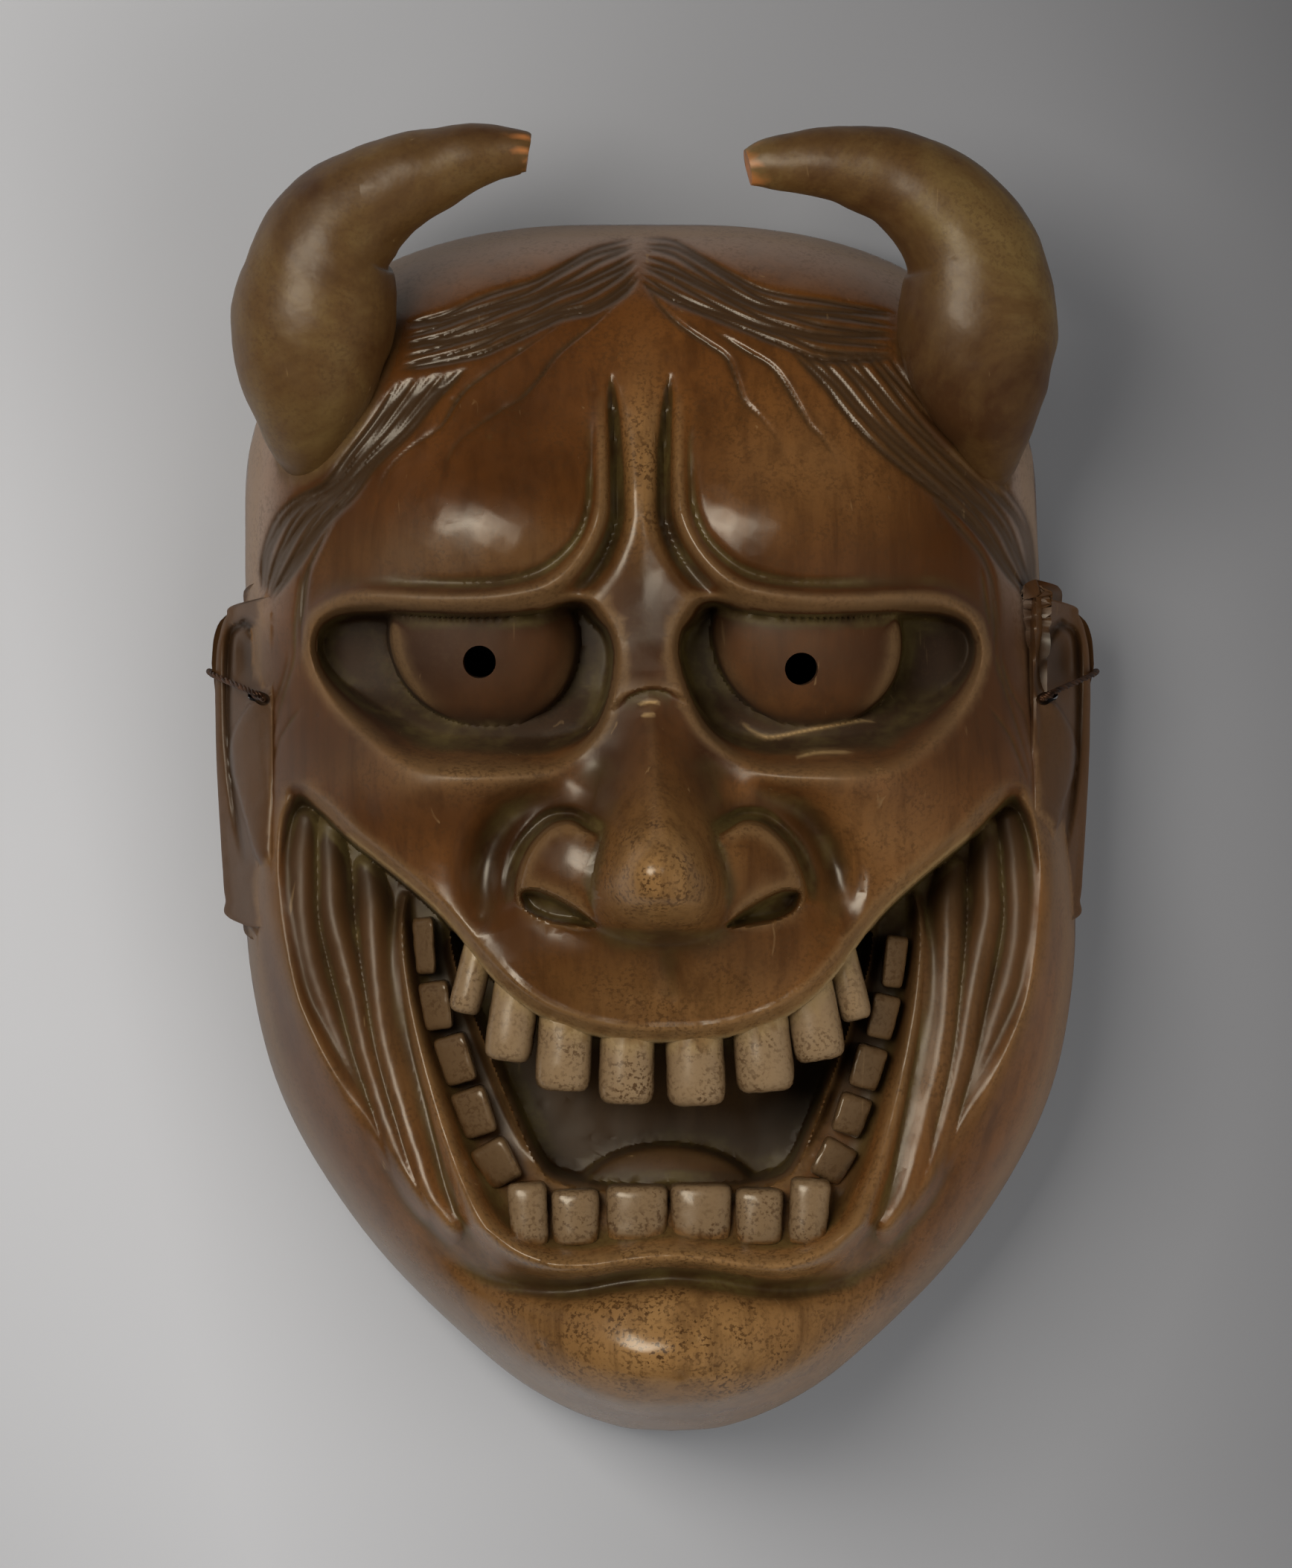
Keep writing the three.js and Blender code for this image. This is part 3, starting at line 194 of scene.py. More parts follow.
PHILTRUM = [(1, -33, 0, 2.5), (1.5, -37, -1.2, 2.4), (2, -41, -.9, 2.6), (2, -45, 0, 2.6)]
LIP = [
    (51.6, -23.5, 2, 1.0), (52.2, -28, 5, 1.4), (52.1, -34.7, 6.5, 1.9), (51, -43.8, 7, 2.4),
    (49.3, -52.5, 7, 2.7), (47, -61.8, 7.2, 2.9), (44.2, -71.2, 7.4, 3.0), (41, -80, 7.6, 3.0),
    (37, -88, 7.8, 3.0), (31.8, -93, 8, 3.0), (25, -95.6, 8, 3.0), (16.5, -96, 8, 3.0), (8, -94.8, 8, 3.0),
    (2, -94.2, 8, 3.0), (-4, -94.2, 8, 3.0)]
GUM = [
    (42.8, -27, 2, .8), (42, -34.8, 5, 1.0), (39.8, -42.3, 5, 1.1), (37.1, -49.5, 5, 1.1), (34.4, -56.8, 5, 1.1),
    (31.5, -63.7, 5, 1.2), (28.1, -70.4, 5, 1.3), (24.2, -75.3, 3.5, 1.3), (20, -78, 1, 1.3)]
FOLDS = [
    [(71.0, -8, 1, 1.6), (71.8, -14, 3, 1.8), (72.1, -20, 4.5, 2.0), (72.0, -27.7, 5, 2.1), (70.6, -36, 5, 2.1),
     (68.2, -44.1, 4.6, 2.0), (65.1, -52.3, 4.2, 1.9), (61.8, -61.1, 3.6, 1.7), (58.8, -69.4, 2.6, 1.6),
     (56, -76, 1, 1.5)],
    [(66.4, -9.5, 1.5, 1.0), (66.4, -18.6, 4, 1.2), (66, -26.9, 5.5, 1.4), (64, -35.5, 6, 1.6),
     (62.1, -43.9, 6, 1.7), (60.4, -53, 5.6, 1.7), (58, -61.6, 5, 1.7), (55, -70.7, 4, 1.6),
     (52.1, -78.2, 2.5, 1.6), (49, -85, 1, 1.5)],
    [(59, -17.5, 2, 1.2), (58.2, -24, 4.5, 1.7), (57.9, -32.8, 6.2, 2.0), (57.4, -41.1, 6.4, 2.1),
     (56.5, -49.4, 6.2, 2.1), (54.9, -57.6, 6, 2.0), (52.6, -65.9, 5.5, 1.9), (50.2, -74.2, 4.5, 1.8),
     (47.6, -81.7, 2.8, 1.8), (44, -88, 1, 1.8)],
]
CREASE = [
    (50, -91, 0, 3), (44, -96.4, -1.4, 2.8), (36, -100.6, -2.6, 2.6), (26, -102, -3.4, 2.6),
    (18, -101.6, -3.8, 2.6), (9, -100, -3.8, 2.6), (0, -99.2, -3.8, 2.6)]
JOWL = [
    (80, 8, 0, 2.5), (80.5, -2, 1.0, 2.6), (80.5, -12, 1.6, 2.6), (79.4, -24, 2.0, 2.8), (77, -34, 2.0, 3),
    (74, -44, 1.8, 3), (69.5, -55, 1.5, 3), (63, -67, 1.0, 3), (57, -78, 0, 3)]
SWELLINGS = [
    (29, 52, 24, 15, 6), (0, 62, 10, 26, -1), (44, 2, 21, 13, 6.5), (20, -30, 20, 16, 4), (0, -38, 30, 16, 5),
    (66, 58, 12, 20, -2.5)]
NOSE_RISE = [
    (22, 0), (19, .8), (15, 1.6), (9.8, 4), (1, 8.5), (-6.3, 14.5), (-12, 20.5), (-16, 23), (-20, 22.6),
    (-24, 19), (-27.5, 11.5), (-30, 4), (-32, 1), (-35, 0)]
NOSE_WIDTH = [
    (22, 4.5), (15, 5), (9.8, 5.8), (3, 7), (-3, 8.8), (-8, 10.6), (-14, 12.2), (-20, 13.2), (-25, 12.6),
    (-30, 10.4), (-35, 7.6)]
NOSE_FULLNESS = [(22, 1.3), (9.8, 1.4), (0, 1.6), (-8, 2.1), (-14, 2.6), (-35, 2.6)]
CHIN = (38, -118.5, 15, 20)
SKIRT_RISE = [(22, 0), (14, 1.5), (5, 4), (-5, 6.5), (-15, 8), (-25, 6), (-33, 3), (-42, 0)]
JAW = [(0, 45), (-20, 45.5), (-40, 47), (-60, 50), (-75, 54.5), (-88, 60), (-100, 64)]
EYE_AT, EYE_RADIUS, EYE_TOP = (32.4, 29.4), 19.2, 67.5
CAVITY_FLOOR, TONGUE_TOP = 36.5, 50.0


def carved(x_at, y):
    """Height of the carved front over points of the plan."""
    x = x_at - through(DRIFT, y)
    u = np.abs(x)
    s = np.clip(np.hypot(u, y - CENTRE_Y) / outline_radius(np.arctan2(y - CENTRE_Y, u)), 0, 1)
    z = BLOCK_RISE * (1 - s ** BLOCK_POWER) ** (1 / BLOCK_POWER)
    broad = 1 - smooth(.72, 1, s)
    for cx, cy, rx, ry, h in SWELLINGS:
        z += broad * h * np.exp(-((u - cx) / rx) ** 2 - ((y - cy) / ry) ** 2)
    rx, cy, ry, h = CHIN
    z += (1 - smooth(.92, 1, s)) * h * np.exp(-(u / rx) ** 2 - ((y - cy) / ry) ** 2)
    for points in (UNDER_EYE, CHEEK_VALLEY, ROLL, ROLL_GROOVE, FURROW, BROW_STRIP):
        ridge(z, u, y, points)

    # eye sockets, deepest under the brow, with the eyeballs in them
    i, depth, soft = inside(u, y, SOCKET)
    w = smooth(-.1, 1, depth / (soft * (1.2 + .9 * smooth(30, 33.5, y[i]))))
    floor = z[i] - 20 + 4 * smooth(20, 9, y[i]) + 5 * smooth(52, 66, u[i])
    z[i] = z[i] * (1 - w) + np.minimum(floor, z[i]) * w
    d = np.hypot(u[i] - EYE_AT[0], y[i] - EYE_AT[1])
    ball = EYE_TOP - 9.5 * (d / EYE_RADIUS) ** 2.4 - 60 * smooth(EYE_RADIUS - 1, EYE_RADIUS + 5, d)
    z[i] = np.where(w > .2, np.maximum(z[i], ball - 12 * (1 - smooth(.2, .75, w))), z[i])

    # nose, wings, nostrils and the arched ledge over the nose's root
    z += through(NOSE_RISE, y) * np.exp(-np.abs(x / through(NOSE_WIDTH, y)) ** through(NOSE_FULLNESS, y))
    z += through(SKIRT_RISE, y) * np.exp(-(x / 14) ** 2)
    i, depth, soft = inside(u, y, WING)
    cap = 88.2 - 4.2 * ((u[i] - 14) / 12) ** 2 - 3.4 * ((y[i] + 18) / 10.5) ** 2 - .10 * (u[i] - 14)
    w = smooth(-.4, 1.8, depth / soft)
    z[i] = np.where(w > 0, np.maximum(z[i], z[i] * (1 - w) + cap * w), z[i])
    ridge(z, u, y, WING_GROOVE)
    i, depth, soft = inside(u, y, NOSTRIL, 6)
    z[i] -= 8 * smooth(-.3, .7, depth / soft) * smooth(-.5, 2, depth)
    arch = 18.5 - .055 * (x - .8) ** 2
    z += 2.4 * smooth(-.4, .5, y - arch) * (1 - smooth(0, 9, y - arch - 2)) * (1 - smooth(7, 9.5, u))
    ridge(z, x, y, PHILTRUM)

    # open mouth: cut upper lip, then jaw, folds, lower lip, gums, floor and tongue
    i, depth, soft = inside(u, y, MOUTH, 12)
    ui, yi = u[i], y[i]
    edge, _ = nearest(line([p[:2] + (0,) for p in MOUTH[:15]]), ui, yi)
    z[i] -= 3.2 * (1 - smooth(0, 3.2, edge)) - .9 * np.exp(-(edge - 3.3) ** 2) * smooth(36, 26, ui)
    w = smooth(-.5, 1.2, depth / soft)
    within = np.minimum(through(JAW, yi) - .06 * (ui - 50), z[i] + 2)
    for fold in FOLDS:
        path = line(fold)
        k = close_to(path, 6.5, ui, yi)
        d, (h, _) = nearest(path, ui[k], yi[k])
        within[k] = np.maximum(within[k], through(JAW, yi[k]) + h - .27 * d * d)
    ridge(within, ui, yi, LIP)
    ridge(within, ui, yi, GUM)
    k, sunk, turn = inside(ui, yi, CAVITY, 4)
    c = smooth(-.2, 2.2, sunk / turn)
    within[k] = within[k] * (1 - c) + (CAVITY_FLOOR + 2 * smooth(-40, -75, yi[k])) * c
    tongue = 1 - (ui / 20.5) ** 2 - ((yi + 86.5) / 13.3) ** 2
    top = TONGUE_TOP - 7 + 7 * np.sqrt(np.clip(tongue, 0, 1))
    lifted = smooth(-.03, .16, tongue)
    within += (np.maximum(within, top) - within) * lifted
    z[i] = z[i] * (1 - w) + within * w
    ridge(z, u, y, CREASE)
    ridge(z, u, y, JOWL)
    return np.maximum(z, 0)


# The hair is combed from a parting in the middle of the crown: two families of cut grooves to each side,
# fine loose strands over the forehead, and a few curved locks over the temples.
HAIR = [
    ([(-3.8, 110.8), (-12.1, 108.5), (-18.1, 104.5), (-24.0, 100.8), (-30.0, 98.9), (-35.9, 97.1), (-41.8, 94.6),
      (-50, 92.6)],
     [(-2.6, 102.8), (-6.1, 98.2), (-12.0, 94.4), (-17.9, 93.2), (-23.9, 90.7), (-29.9, 88.2), (-35.7, 85.8),
      (-51.3, 82.3)], 8),
    ([(-50.6, 80.8), (-55.8, 72.8), (-60.6, 66.3), (-65.5, 59.8), (-71.7, 57.0), (-76.4, 53.1), (-79.6, 46),
      (-79.4, 38.3)],
     [(-36.8, 83.4), (-42.7, 77.4), (-48.6, 70.2), (-55.8, 63.7), (-59.9, 57.8), (-65, 52.4), (-70.5, 44.7),
      (-77.5, 36.2)], 9),
    ([(-2.2, 110.8), (4.1, 110.6), (9.4, 107.1), (15.3, 102.9), (21.3, 99.2), (27.3, 97.7), (35.0, 97.0), (49.5, 95.0)],
     [(-2.6, 101.4), (3.4, 97.2), (12.3, 93.2), (21.2, 89.8), (27.2, 87.6), (33.0, 85.2),
      (39.0, 84.7), (49.0, 85.0)], 8),
    ([(47.0, 86.2), (51.7, 80.1), (56.5, 74.3), (61.8, 69.0), (66.9, 63.6), (71.5, 59), (76.5, 53), (78, 46), (78, 40)],
     [(27.0, 86.6), (33.7, 80.1), (38.3, 74.2), (43.8, 68.3), (49.7, 63.3), (56.7, 57.9), (63.8, 51.5), (69, 44.8),
      (76, 37)], 9),
]
LOOSE_HAIR = [
    [(-17.9, 92.5), (-23.9, 88.2), (-31.0, 83.3), (-37.4, 78.4), (-40.3, 74.3), (-42.6, 70.7), (-48.6, 66.5),
     (-52.7, 62.4), (-54.8, 58.3), (-55.1, 56.5)],
    [(-6.7, 96.9), (-12.5, 91.3), (-19.1, 85.7), (-22.6, 80.8), (-26.2, 76.7), (-29.7, 74.6), (-35.5, 70.6),
     (-39.6, 67.0), (-41.9, 61.6), (-42.5, 60.4)],
    [(-2.0, 101.4), (1.0, 96.3), (5.2, 91.9), (10.4, 88.2), (14.6, 85.1), (16.4, 80.8), (18.1, 76.1), (21.1, 73.0),
     (24.0, 69.4), (26.6, 65.1)],
    [(11.1, 91.3), (17.6, 87.0), (23.5, 83.3), (27.1, 78.4), (29.4, 74.3), (31.2, 71.2), (34.0, 68.2), (37.8, 61.6)],
    [(-64.2, 52.4), (-67.1, 47.1), (-69.7, 41.4), (-70.5, 36.2), (-70.8, 24.4)],
    [(55.9, 57.2), (63.2, 49.2), (66.5, 45.1), (68.7, 39.0), (70.0, 28.5)],
]
TEMPLE_CREASES = [
    [(-70.6, 43.6), (-72.0, 31.9), (-72.2, 24.9), (-75.5, 14.6), (-79.3, 2.4), (-80.0, -5.6)],
    [(-69, 43.6), (-70.6, 33.3), (-70.9, 24.9)],
    [(-73.4, 27.7), (-73.7, 24), (-75.5, 18.3), (-78.3, 13.6), (-79.8, 6.2), (-80, -3.2)],
    [(-70.4, 15.5), (-74.7, 9.9), (-77, 4.7), (-79.3, -1.4)],
]
CRACKS = [[(17.3, 12.5), (20.3, 9.9), (23.4, 9.0), (30.6, 10.3), (41.0, 12.3), (45.1, 11.9)],
          [(27.8, 4.7), (33.0, 5.9), (40.4, 5.9)], [(-3.0, 15.4), (-0.4, 15.9), (1.6, 15.5)],
          [(-2.4, 13.2), (0.6, 13.4)]]


def even_points(points, count=24):
    """The same line with its points evenly spaced."""
    p = line([q + (0,) for q in points])[:, :2]
    run = np.concatenate([[0], np.cumsum(np.hypot(*np.diff(p, axis=0).T))])
    at = np.linspace(0, run[-1], count)
    return np.stack([np.interp(at, run, p[:, 0]), np.interp(at, run, p[:, 1])], 1)


def tapered(points, height, width, ends=(.15, .25)):
    """A groove or ridge that grows from nothing and dies away again."""
    t = np.linspace(0, 1, len(points))
    full = np.clip(np.minimum(t / ends[0], (1 - t) / ends[1]), 0, 1) ** .7
    return [(p[0], p[1], height * f, width * (.55 + .45 * f)) for p, f in zip(points, full)]


def groove(z, x, y, points):
    """A cut with a sharp bottom; points are already close together."""
    path = np.array(points)
    i = close_to(path, 3.2 * path[:, 3].max(), x, y)
    if len(i):
        d, (h, w) = nearest(path, x[i], y[i])
        z[i] += h * np.exp(-(d / w) ** 1.3)


STRAND_DEPTH, LAST_DEPTH, STRAND_CUT = .95, 1.15, .62
LOOSE_DEPTH, CREASE_DEPTH, CRACK_DEPTH = .8, .7, .35


def cut_hair(z, x, y):
    """Cuts the strands, loose hairs and temple creases, and returns how much of each point is hair."""
    before = z.copy()
    for upper, lower, count in HAIR:
        a, b = even_points(upper), even_points(lower)
        for k in range(count):
            t = k / (count - 1)
            between = a + (b - a) * t
            sway = .35 * np.sin(np.linspace(0, 9, len(between)) + 2.1 * k)[:, None]
            across = (b - a) / np.maximum(np.hypot(*(b - a).T), 1e-6)[:, None]
            groove(z, x, y, tapered(between + across * sway, -STRAND_DEPTH if k < count - 1 else -LAST_DEPTH,
                                     STRAND_CUT, (.08, .1)))
    for one in LOOSE_HAIR:
        groove(z, x, y, tapered(even_points(one, 30), -LOOSE_DEPTH, .55, (.2, .5)))
        groove(z, x, y, tapered(even_points([(p[0] + 1.3, p[1] + .5) for p in one], 30), .35, .6, (.2, .5)))
    cut = np.clip(np.abs(z - before) * 1.2, 0, 1)
    for one in TEMPLE_CREASES:
        for side in (-1, 1):
            points = [(-side * p[0] + (0 if side < 0 else -3.2), p[1]) for p in one]
            groove(z, x, y, tapered(even_points(points, 30), -CREASE_DEPTH, .5, (.2, .4)))
    return cut


def waves(x, y, size, seed):
    """Gentle uneven waves, the same each time."""
    random = np.random.default_rng(seed)
    total = np.zeros_like(x)
    for _ in range(9):
        angle, phase = random.uniform(0, 2 * math.pi, 2)
        k = 2 * math.pi / (size * random.uniform(.7, 1.5))
        total += np.sin(k * (x * math.cos(angle) + y * math.sin(angle)) + phase)
    return total / 3


NICKS, NICK_DEPTH = 46, .22
CHIPS, CHIP_DEPTH = [(8.5, -111, 1.4), (5.2, -118, .9), (-22.5, -113, .8), (-20, -118.5, .7), (-25, -116, .6)], .45


def dent(z, x, y, cx, cy, rx, ry, depth):
    """A small round hollow knocked into the wood."""
    i = np.nonzero((np.abs(x - cx) < 3 * rx) & (np.abs(y - cy) < 3 * rx))[0]
    z[i] -= depth * np.exp(-((x[i] - cx) / rx) ** 2 - ((y[i] - cy) / ry) ** 2)


def worn(z, x, y):
    """The small unevenness that knife and years leave: soft facets, nicks, and the chips on the chin."""
    z += .05 * waves(x, y, 9, 1) + .03 * waves(x, y, 4, 2)
    random = np.random.default_rng(7)
    for _ in range(NICKS):
        cx, cy, r = random.uniform(-70, 70), random.uniform(-125, 95), random.uniform(.35, .9)
        dent(z, x, y, cx, cy, r, r * random.uniform(.4, 1.6), NICK_DEPTH)
    for cx, cy, r in CHIPS:
        dent(z, x, y, cx, cy, r, r, CHIP_DEPTH)
    for one in CRACKS:
        groove(z, x, y, tapered(even_points(one, 20), -CRACK_DEPTH, .28, (.2, .2)))


def only(*objects):
    """Selects these objects and nothing else, the first one active."""
    bpy.ops.object.select_all(action="DESELECT")
    for one in objects:
        one.select_set(True)
    bpy.context.view_layer.objects.active = objects[0]


def plan(across, up, inset=0.0):
    """From a square grid of -1 to 1 to the block's plan, evenly spaced over its rounded section."""
    c, d = across * np.sqrt(1 - up * up / 2), up * np.sqrt(1 - across * across / 2)
    share, angle = np.minimum(np.hypot(c, d), 1), np.arctan2(d, c)
    q = np.linspace(0, 1, 2001)
    run = np.concatenate([[0], np.cumsum(np.hypot(np.diff(q) * 100, np.diff(
        BLOCK_RISE * (1 - q ** BLOCK_POWER) ** (1 / BLOCK_POWER))))])
    r = (outline_radius(np.arctan2(np.sin(angle), np.abs(np.cos(angle)))) - inset) * np.interp(share, run / run[-1], q)
    y = CENTRE_Y + r * np.sin(angle)
    return r * np.cos(angle) + through(DRIFT, y), y


def vertices_of(body, kind="co"):
    """The places, or the normals, of all of a body's vertices."""
    values = np.empty(len(body.data.vertices) * 3)
    body.data.vertices.foreach_get(kind, values)
    return values.reshape(-1, 3)


def relief_body(name, steps, height, inset=0.0, foot=0.0):
    """A closed body under a height over the plan, from a primitive grid."""
    bpy.ops.mesh.primitive_grid_add(x_subdivisions=steps[0], y_subdivisions=steps[1], size=2)
    body = bpy.context.object
    body.name = body.data.name = name
    at = vertices_of(body)
    rim = np.max(np.abs(at[:, :2]), 1) > 1 - 1e-6
    x, y = plan(at[:, 0], at[:, 1], inset)
    z = np.where(rim, foot, np.maximum(height(x, y), foot + .02))
    body.data.vertices.foreach_set("co", (np.stack([x, y, z], 1) * MM).ravel())
    bpy.ops.object.mode_set(mode="EDIT")
    bpy.ops.mesh.select_all(action="DESELECT")
    bpy.ops.mesh.select_mode(type="EDGE")
    bpy.ops.mesh.select_non_manifold()
    bpy.ops.mesh.edge_face_add()
    bpy.ops.mesh.select_all(action="SELECT")
    bpy.ops.mesh.normals_make_consistent(inside=False)
    bpy.ops.object.mode_set(mode="OBJECT")
    return body


def combine(body, other, operation):
    """Joins another body to this one, or cuts it away, and removes it."""
    cut = body.modifiers.new(operation.lower(), "BOOLEAN")
    cut.operation, cut.solver, cut.object = operation, "MANIFOLD", other
    only(body)
    bpy.ops.object.modifier_apply(modifier=cut.name)
    bpy.data.objects.remove(other, do_unlink=True)


def front(x, y):
    z = carved(x, y)
    cut_hair(z, x, y)
    worn(z, x, y)
    return z


mask = relief_body("carved_mask", HEAD_STEPS, front)

# the edges of the eyelids and the folds beside the mouth are eased, as sanding leaves them
x, y, z = vertices_of(mask).T / MM
u = np.abs(x - through(DRIFT, y))
near, depth, _ = inside(u, y, SOCKET, 4)
eased = list(near[np.abs(depth) < 3])
near, depth, _ = inside(u, y, MOUTH, 2)
eased += list(near[(depth > 3.5) & (u[near] > 40)])
eased = [int(i) for i in eased if z[i] > 1]
mask.vertex_groups.new(name="eased").add(eased, 1, "REPLACE")
ease = mask.modifiers.new("ease", "SMOOTH")
ease.factor, ease.iterations, ease.vertex_group = .5, 4, "eased"
only(mask)
bpy.ops.object.modifier_apply(modifier=ease.name)
mask.vertex_groups.clear()

# The horns grow from the temples out of the same block, curve forwards and in over the crown,
# and end in blunt cut tips.
HORNS = {
    "horn_left": [(-67, 61, 42, 3), (-68.5, 65, 46, 6.2), (-69.1, 70.7, 50, 9.7), (-69, 79.2, 53, 13.7),
                  (-69, 86, 54.5, 15.5), (-68.3, 92.7, 55.5, 16.6), (-67.2, 99.5, 56.5, 16),
                  (-64.8, 108.6, 58, 13.8), (-60, 114.3, 59, 12.2), (-54.8, 117.9, 60, 10.5), (-49, 120.9, 61, 9.4),
                  (-43.1, 122.9, 62, 8.2), (-37.4, 124.9, 63, 6.9), (-31.9, 125.9, 63.5, 5.7),
                  (-26.8, 126, 64, 4.6), (-24.9, 125.8, 64, 3.9)],
    "horn_right": [(67, 60, 42, 3), (68, 64.5, 46, 5.6), (67.8, 71, 50, 9), (66.8, 77.5, 53, 12.6),
                   (65.8, 84.5, 54.5, 15.2), (65.3, 92, 55.5, 16.2), (65, 99.5, 56.5, 15.3),
                   (63.7, 106.5, 57.5, 13.8), (60.2, 112.3, 58.5, 12.4), (55.4, 117, 59.5, 11.3),
                   (48.7, 121, 60.5, 9.8), (42.1, 122.8, 61.5, 8.8), (36.7, 123.7, 62.5, 7.6), (30.5, 124, 63, 6.5),
                   (23.4, 123.7, 63.5, 5.2), (19, 122.9, 64, 3.6)],
}
horn_lines = []
for name, points in HORNS.items():
    path = line(points, steps=6)
    horn_lines.append(path)
    bpy.ops.curve.primitive_nurbs_path_add()
    horn = bpy.context.object
    horn.name = name
    horn.data.splines.clear()
    spline = horn.data.splines.new("POLY")
    spline.points.add(len(path) - 1)
    spline.points.foreach_set("co", np.c_[path[:, :3] * MM, np.ones(len(path))].ravel())
    spline.points.foreach_set("radius", path[:, 3])
    horn.data.bevel_depth, horn.data.bevel_resolution = MM, 12
    horn.data.use_fill_caps = True
    only(horn)
    bpy.ops.object.convert(target="MESH")
    horn = bpy.context.object
    bpy.ops.object.mode_set(mode="EDIT")
    bpy.ops.mesh.select_all(action="SELECT")
    bpy.ops.mesh.remove_doubles(threshold=1e-6)
    bpy.ops.mesh.subdivide(number_cuts=1)
    bpy.ops.mesh.normals_make_consistent(inside=False)
    bpy.ops.object.mode_set(mode="OBJECT")
    at, normal = vertices_of(horn) / MM, vertices_of(horn, "normal")
    facets = .09 * waves(at[:, 0] + at[:, 2], at[:, 1], 9, 11) + .03 * waves(at[:, 0], at[:, 1] - at[:, 2], 3.5, 12)
    horn.data.vertices.foreach_set("co", ((at + normal * facets[:, None]) * MM).ravel())
    combine(mask, horn, "UNION")


# The ears are slabs carved standing out from the sides of the head: a raised rim, a hollowed shell,
# a flap in front of it and a long lobe.
EAR_EDGE = [
    (37.4, 79.5), (36.4, 85), (34, 87.4), (30, 89), (22, 89.9), (12.2, 89.9), (2.4, 89.6), (-7.3, 89),
    (-17.1, 88.3), (-24, 87.6), (-28, 86.4), (-29.4, 82.5)]
EAR_FLAP = [
    (21, 76), (18, 80), (12.7, 84.8), (7.3, 86.8), (2.4, 86.5), (-3.4, 84.6), (-9, 83), (-14, 81.5), (-20, 78)]
EAR_CREASE = [
    (83.2, 32.3, -1.5, .9), (81.3, 30.4, -3, 1.0), (79.6, 27.2, -3.4, 1.1), (78.6, 23, -3, 1.1), (78.2, 19, -1.5, 1.0)]
EAR_HEM = [
    (83.6, 32.4, -1.8, .9), (86.4, 30.4, -2.6, .9), (87.2, 24, -2.8, .9), (87.2, 12, -2.8, .9),
    (86.4, 1, -2.6, .9), (85, -8.5, -2, .9), (83.2, -16, -.6, .9)]
EAR_SHELL = (82.6, 25.5, 3.2, 6.0, 5.5)
EAR_ROOT, EAR_FRONT, EAR_HIGH, EAR_LOW, EAR_WALL = 71.0, 76.5, 48.0, 19.0, 3.9
for side in (-1, 1):
    bpy.ops.mesh.primitive_grid_add(x_subdivisions=44, y_subdivisions=120, size=2)
    ear = bpy.context.object
    at = vertices_of(ear)
    y = 4 + 33.4 * np.sin(at[:, 1] * math.pi / 2)
    edge = through(EAR_EDGE, y)
    x = EAR_ROOT + (edge - EAR_ROOT) * (1 - (.5 - at[:, 0] / 2) ** 1.5)
    z = EAR_HIGH + (EAR_LOW - EAR_HIGH) * (x - 76) / 14
    cx, cy, rx, ry, sunk = EAR_SHELL
    z -= sunk * np.exp(-((x - cx) / rx) ** 2 - ((y - cy) / ry) ** 2)
    z += 1.2 * np.exp(-((edge - x) / 1.2) ** 2)
    # the flap carries on from the cheek and ends in a crisp edge
    tip = through(EAR_FLAP, y)
    out = np.clip((x - EAR_FRONT) / (tip - EAR_FRONT), 0, 1)
    flap = carved(np.full_like(y, side * EAR_FRONT), y) * (1 - out) + 1.2 * np.sin(math.pi * out)
    flap += (EAR_HIGH + (EAR_LOW - EAR_HIGH) * (tip - 76) / 14 + 5.5) * out
    on_flap = (1 - smooth(-1.0, .4, x - tip)) * smooth(-20, -13, y) * smooth(20, 15, y)
    z += (np.maximum(z, flap) - z) * on_flap
    ridge(z, x, y, EAR_CREASE)
    ridge(z, x, y, EAR_HEM)
    z += .10 * waves(x * 2, y, 6, 21)
    root = 1 - smooth(75.8, 77.6, x)
    z = z * (1 - root) + np.minimum(z, carved(side * x, y) - 2) * root
    ear.data.vertices.foreach_set("co", (np.stack([side * x, y, z], 1) * MM).ravel())
    only(ear)
    if side < 0:
        ear.data.flip_normals()
    wall = ear.modifiers.new("wall", "SOLIDIFY")
    wall.thickness, wall.offset, wall.use_even_offset = EAR_WALL * MM, -1, False
    bpy.ops.object.modifier_apply(modifier=wall.name)
    bpy.ops.object.mode_set(mode="EDIT")
    bpy.ops.mesh.select_all(action="SELECT")
    bpy.ops.mesh.normals_make_consistent(inside=False)
    bpy.ops.object.mode_set(mode="OBJECT")
    combine(mask, ear, "UNION")

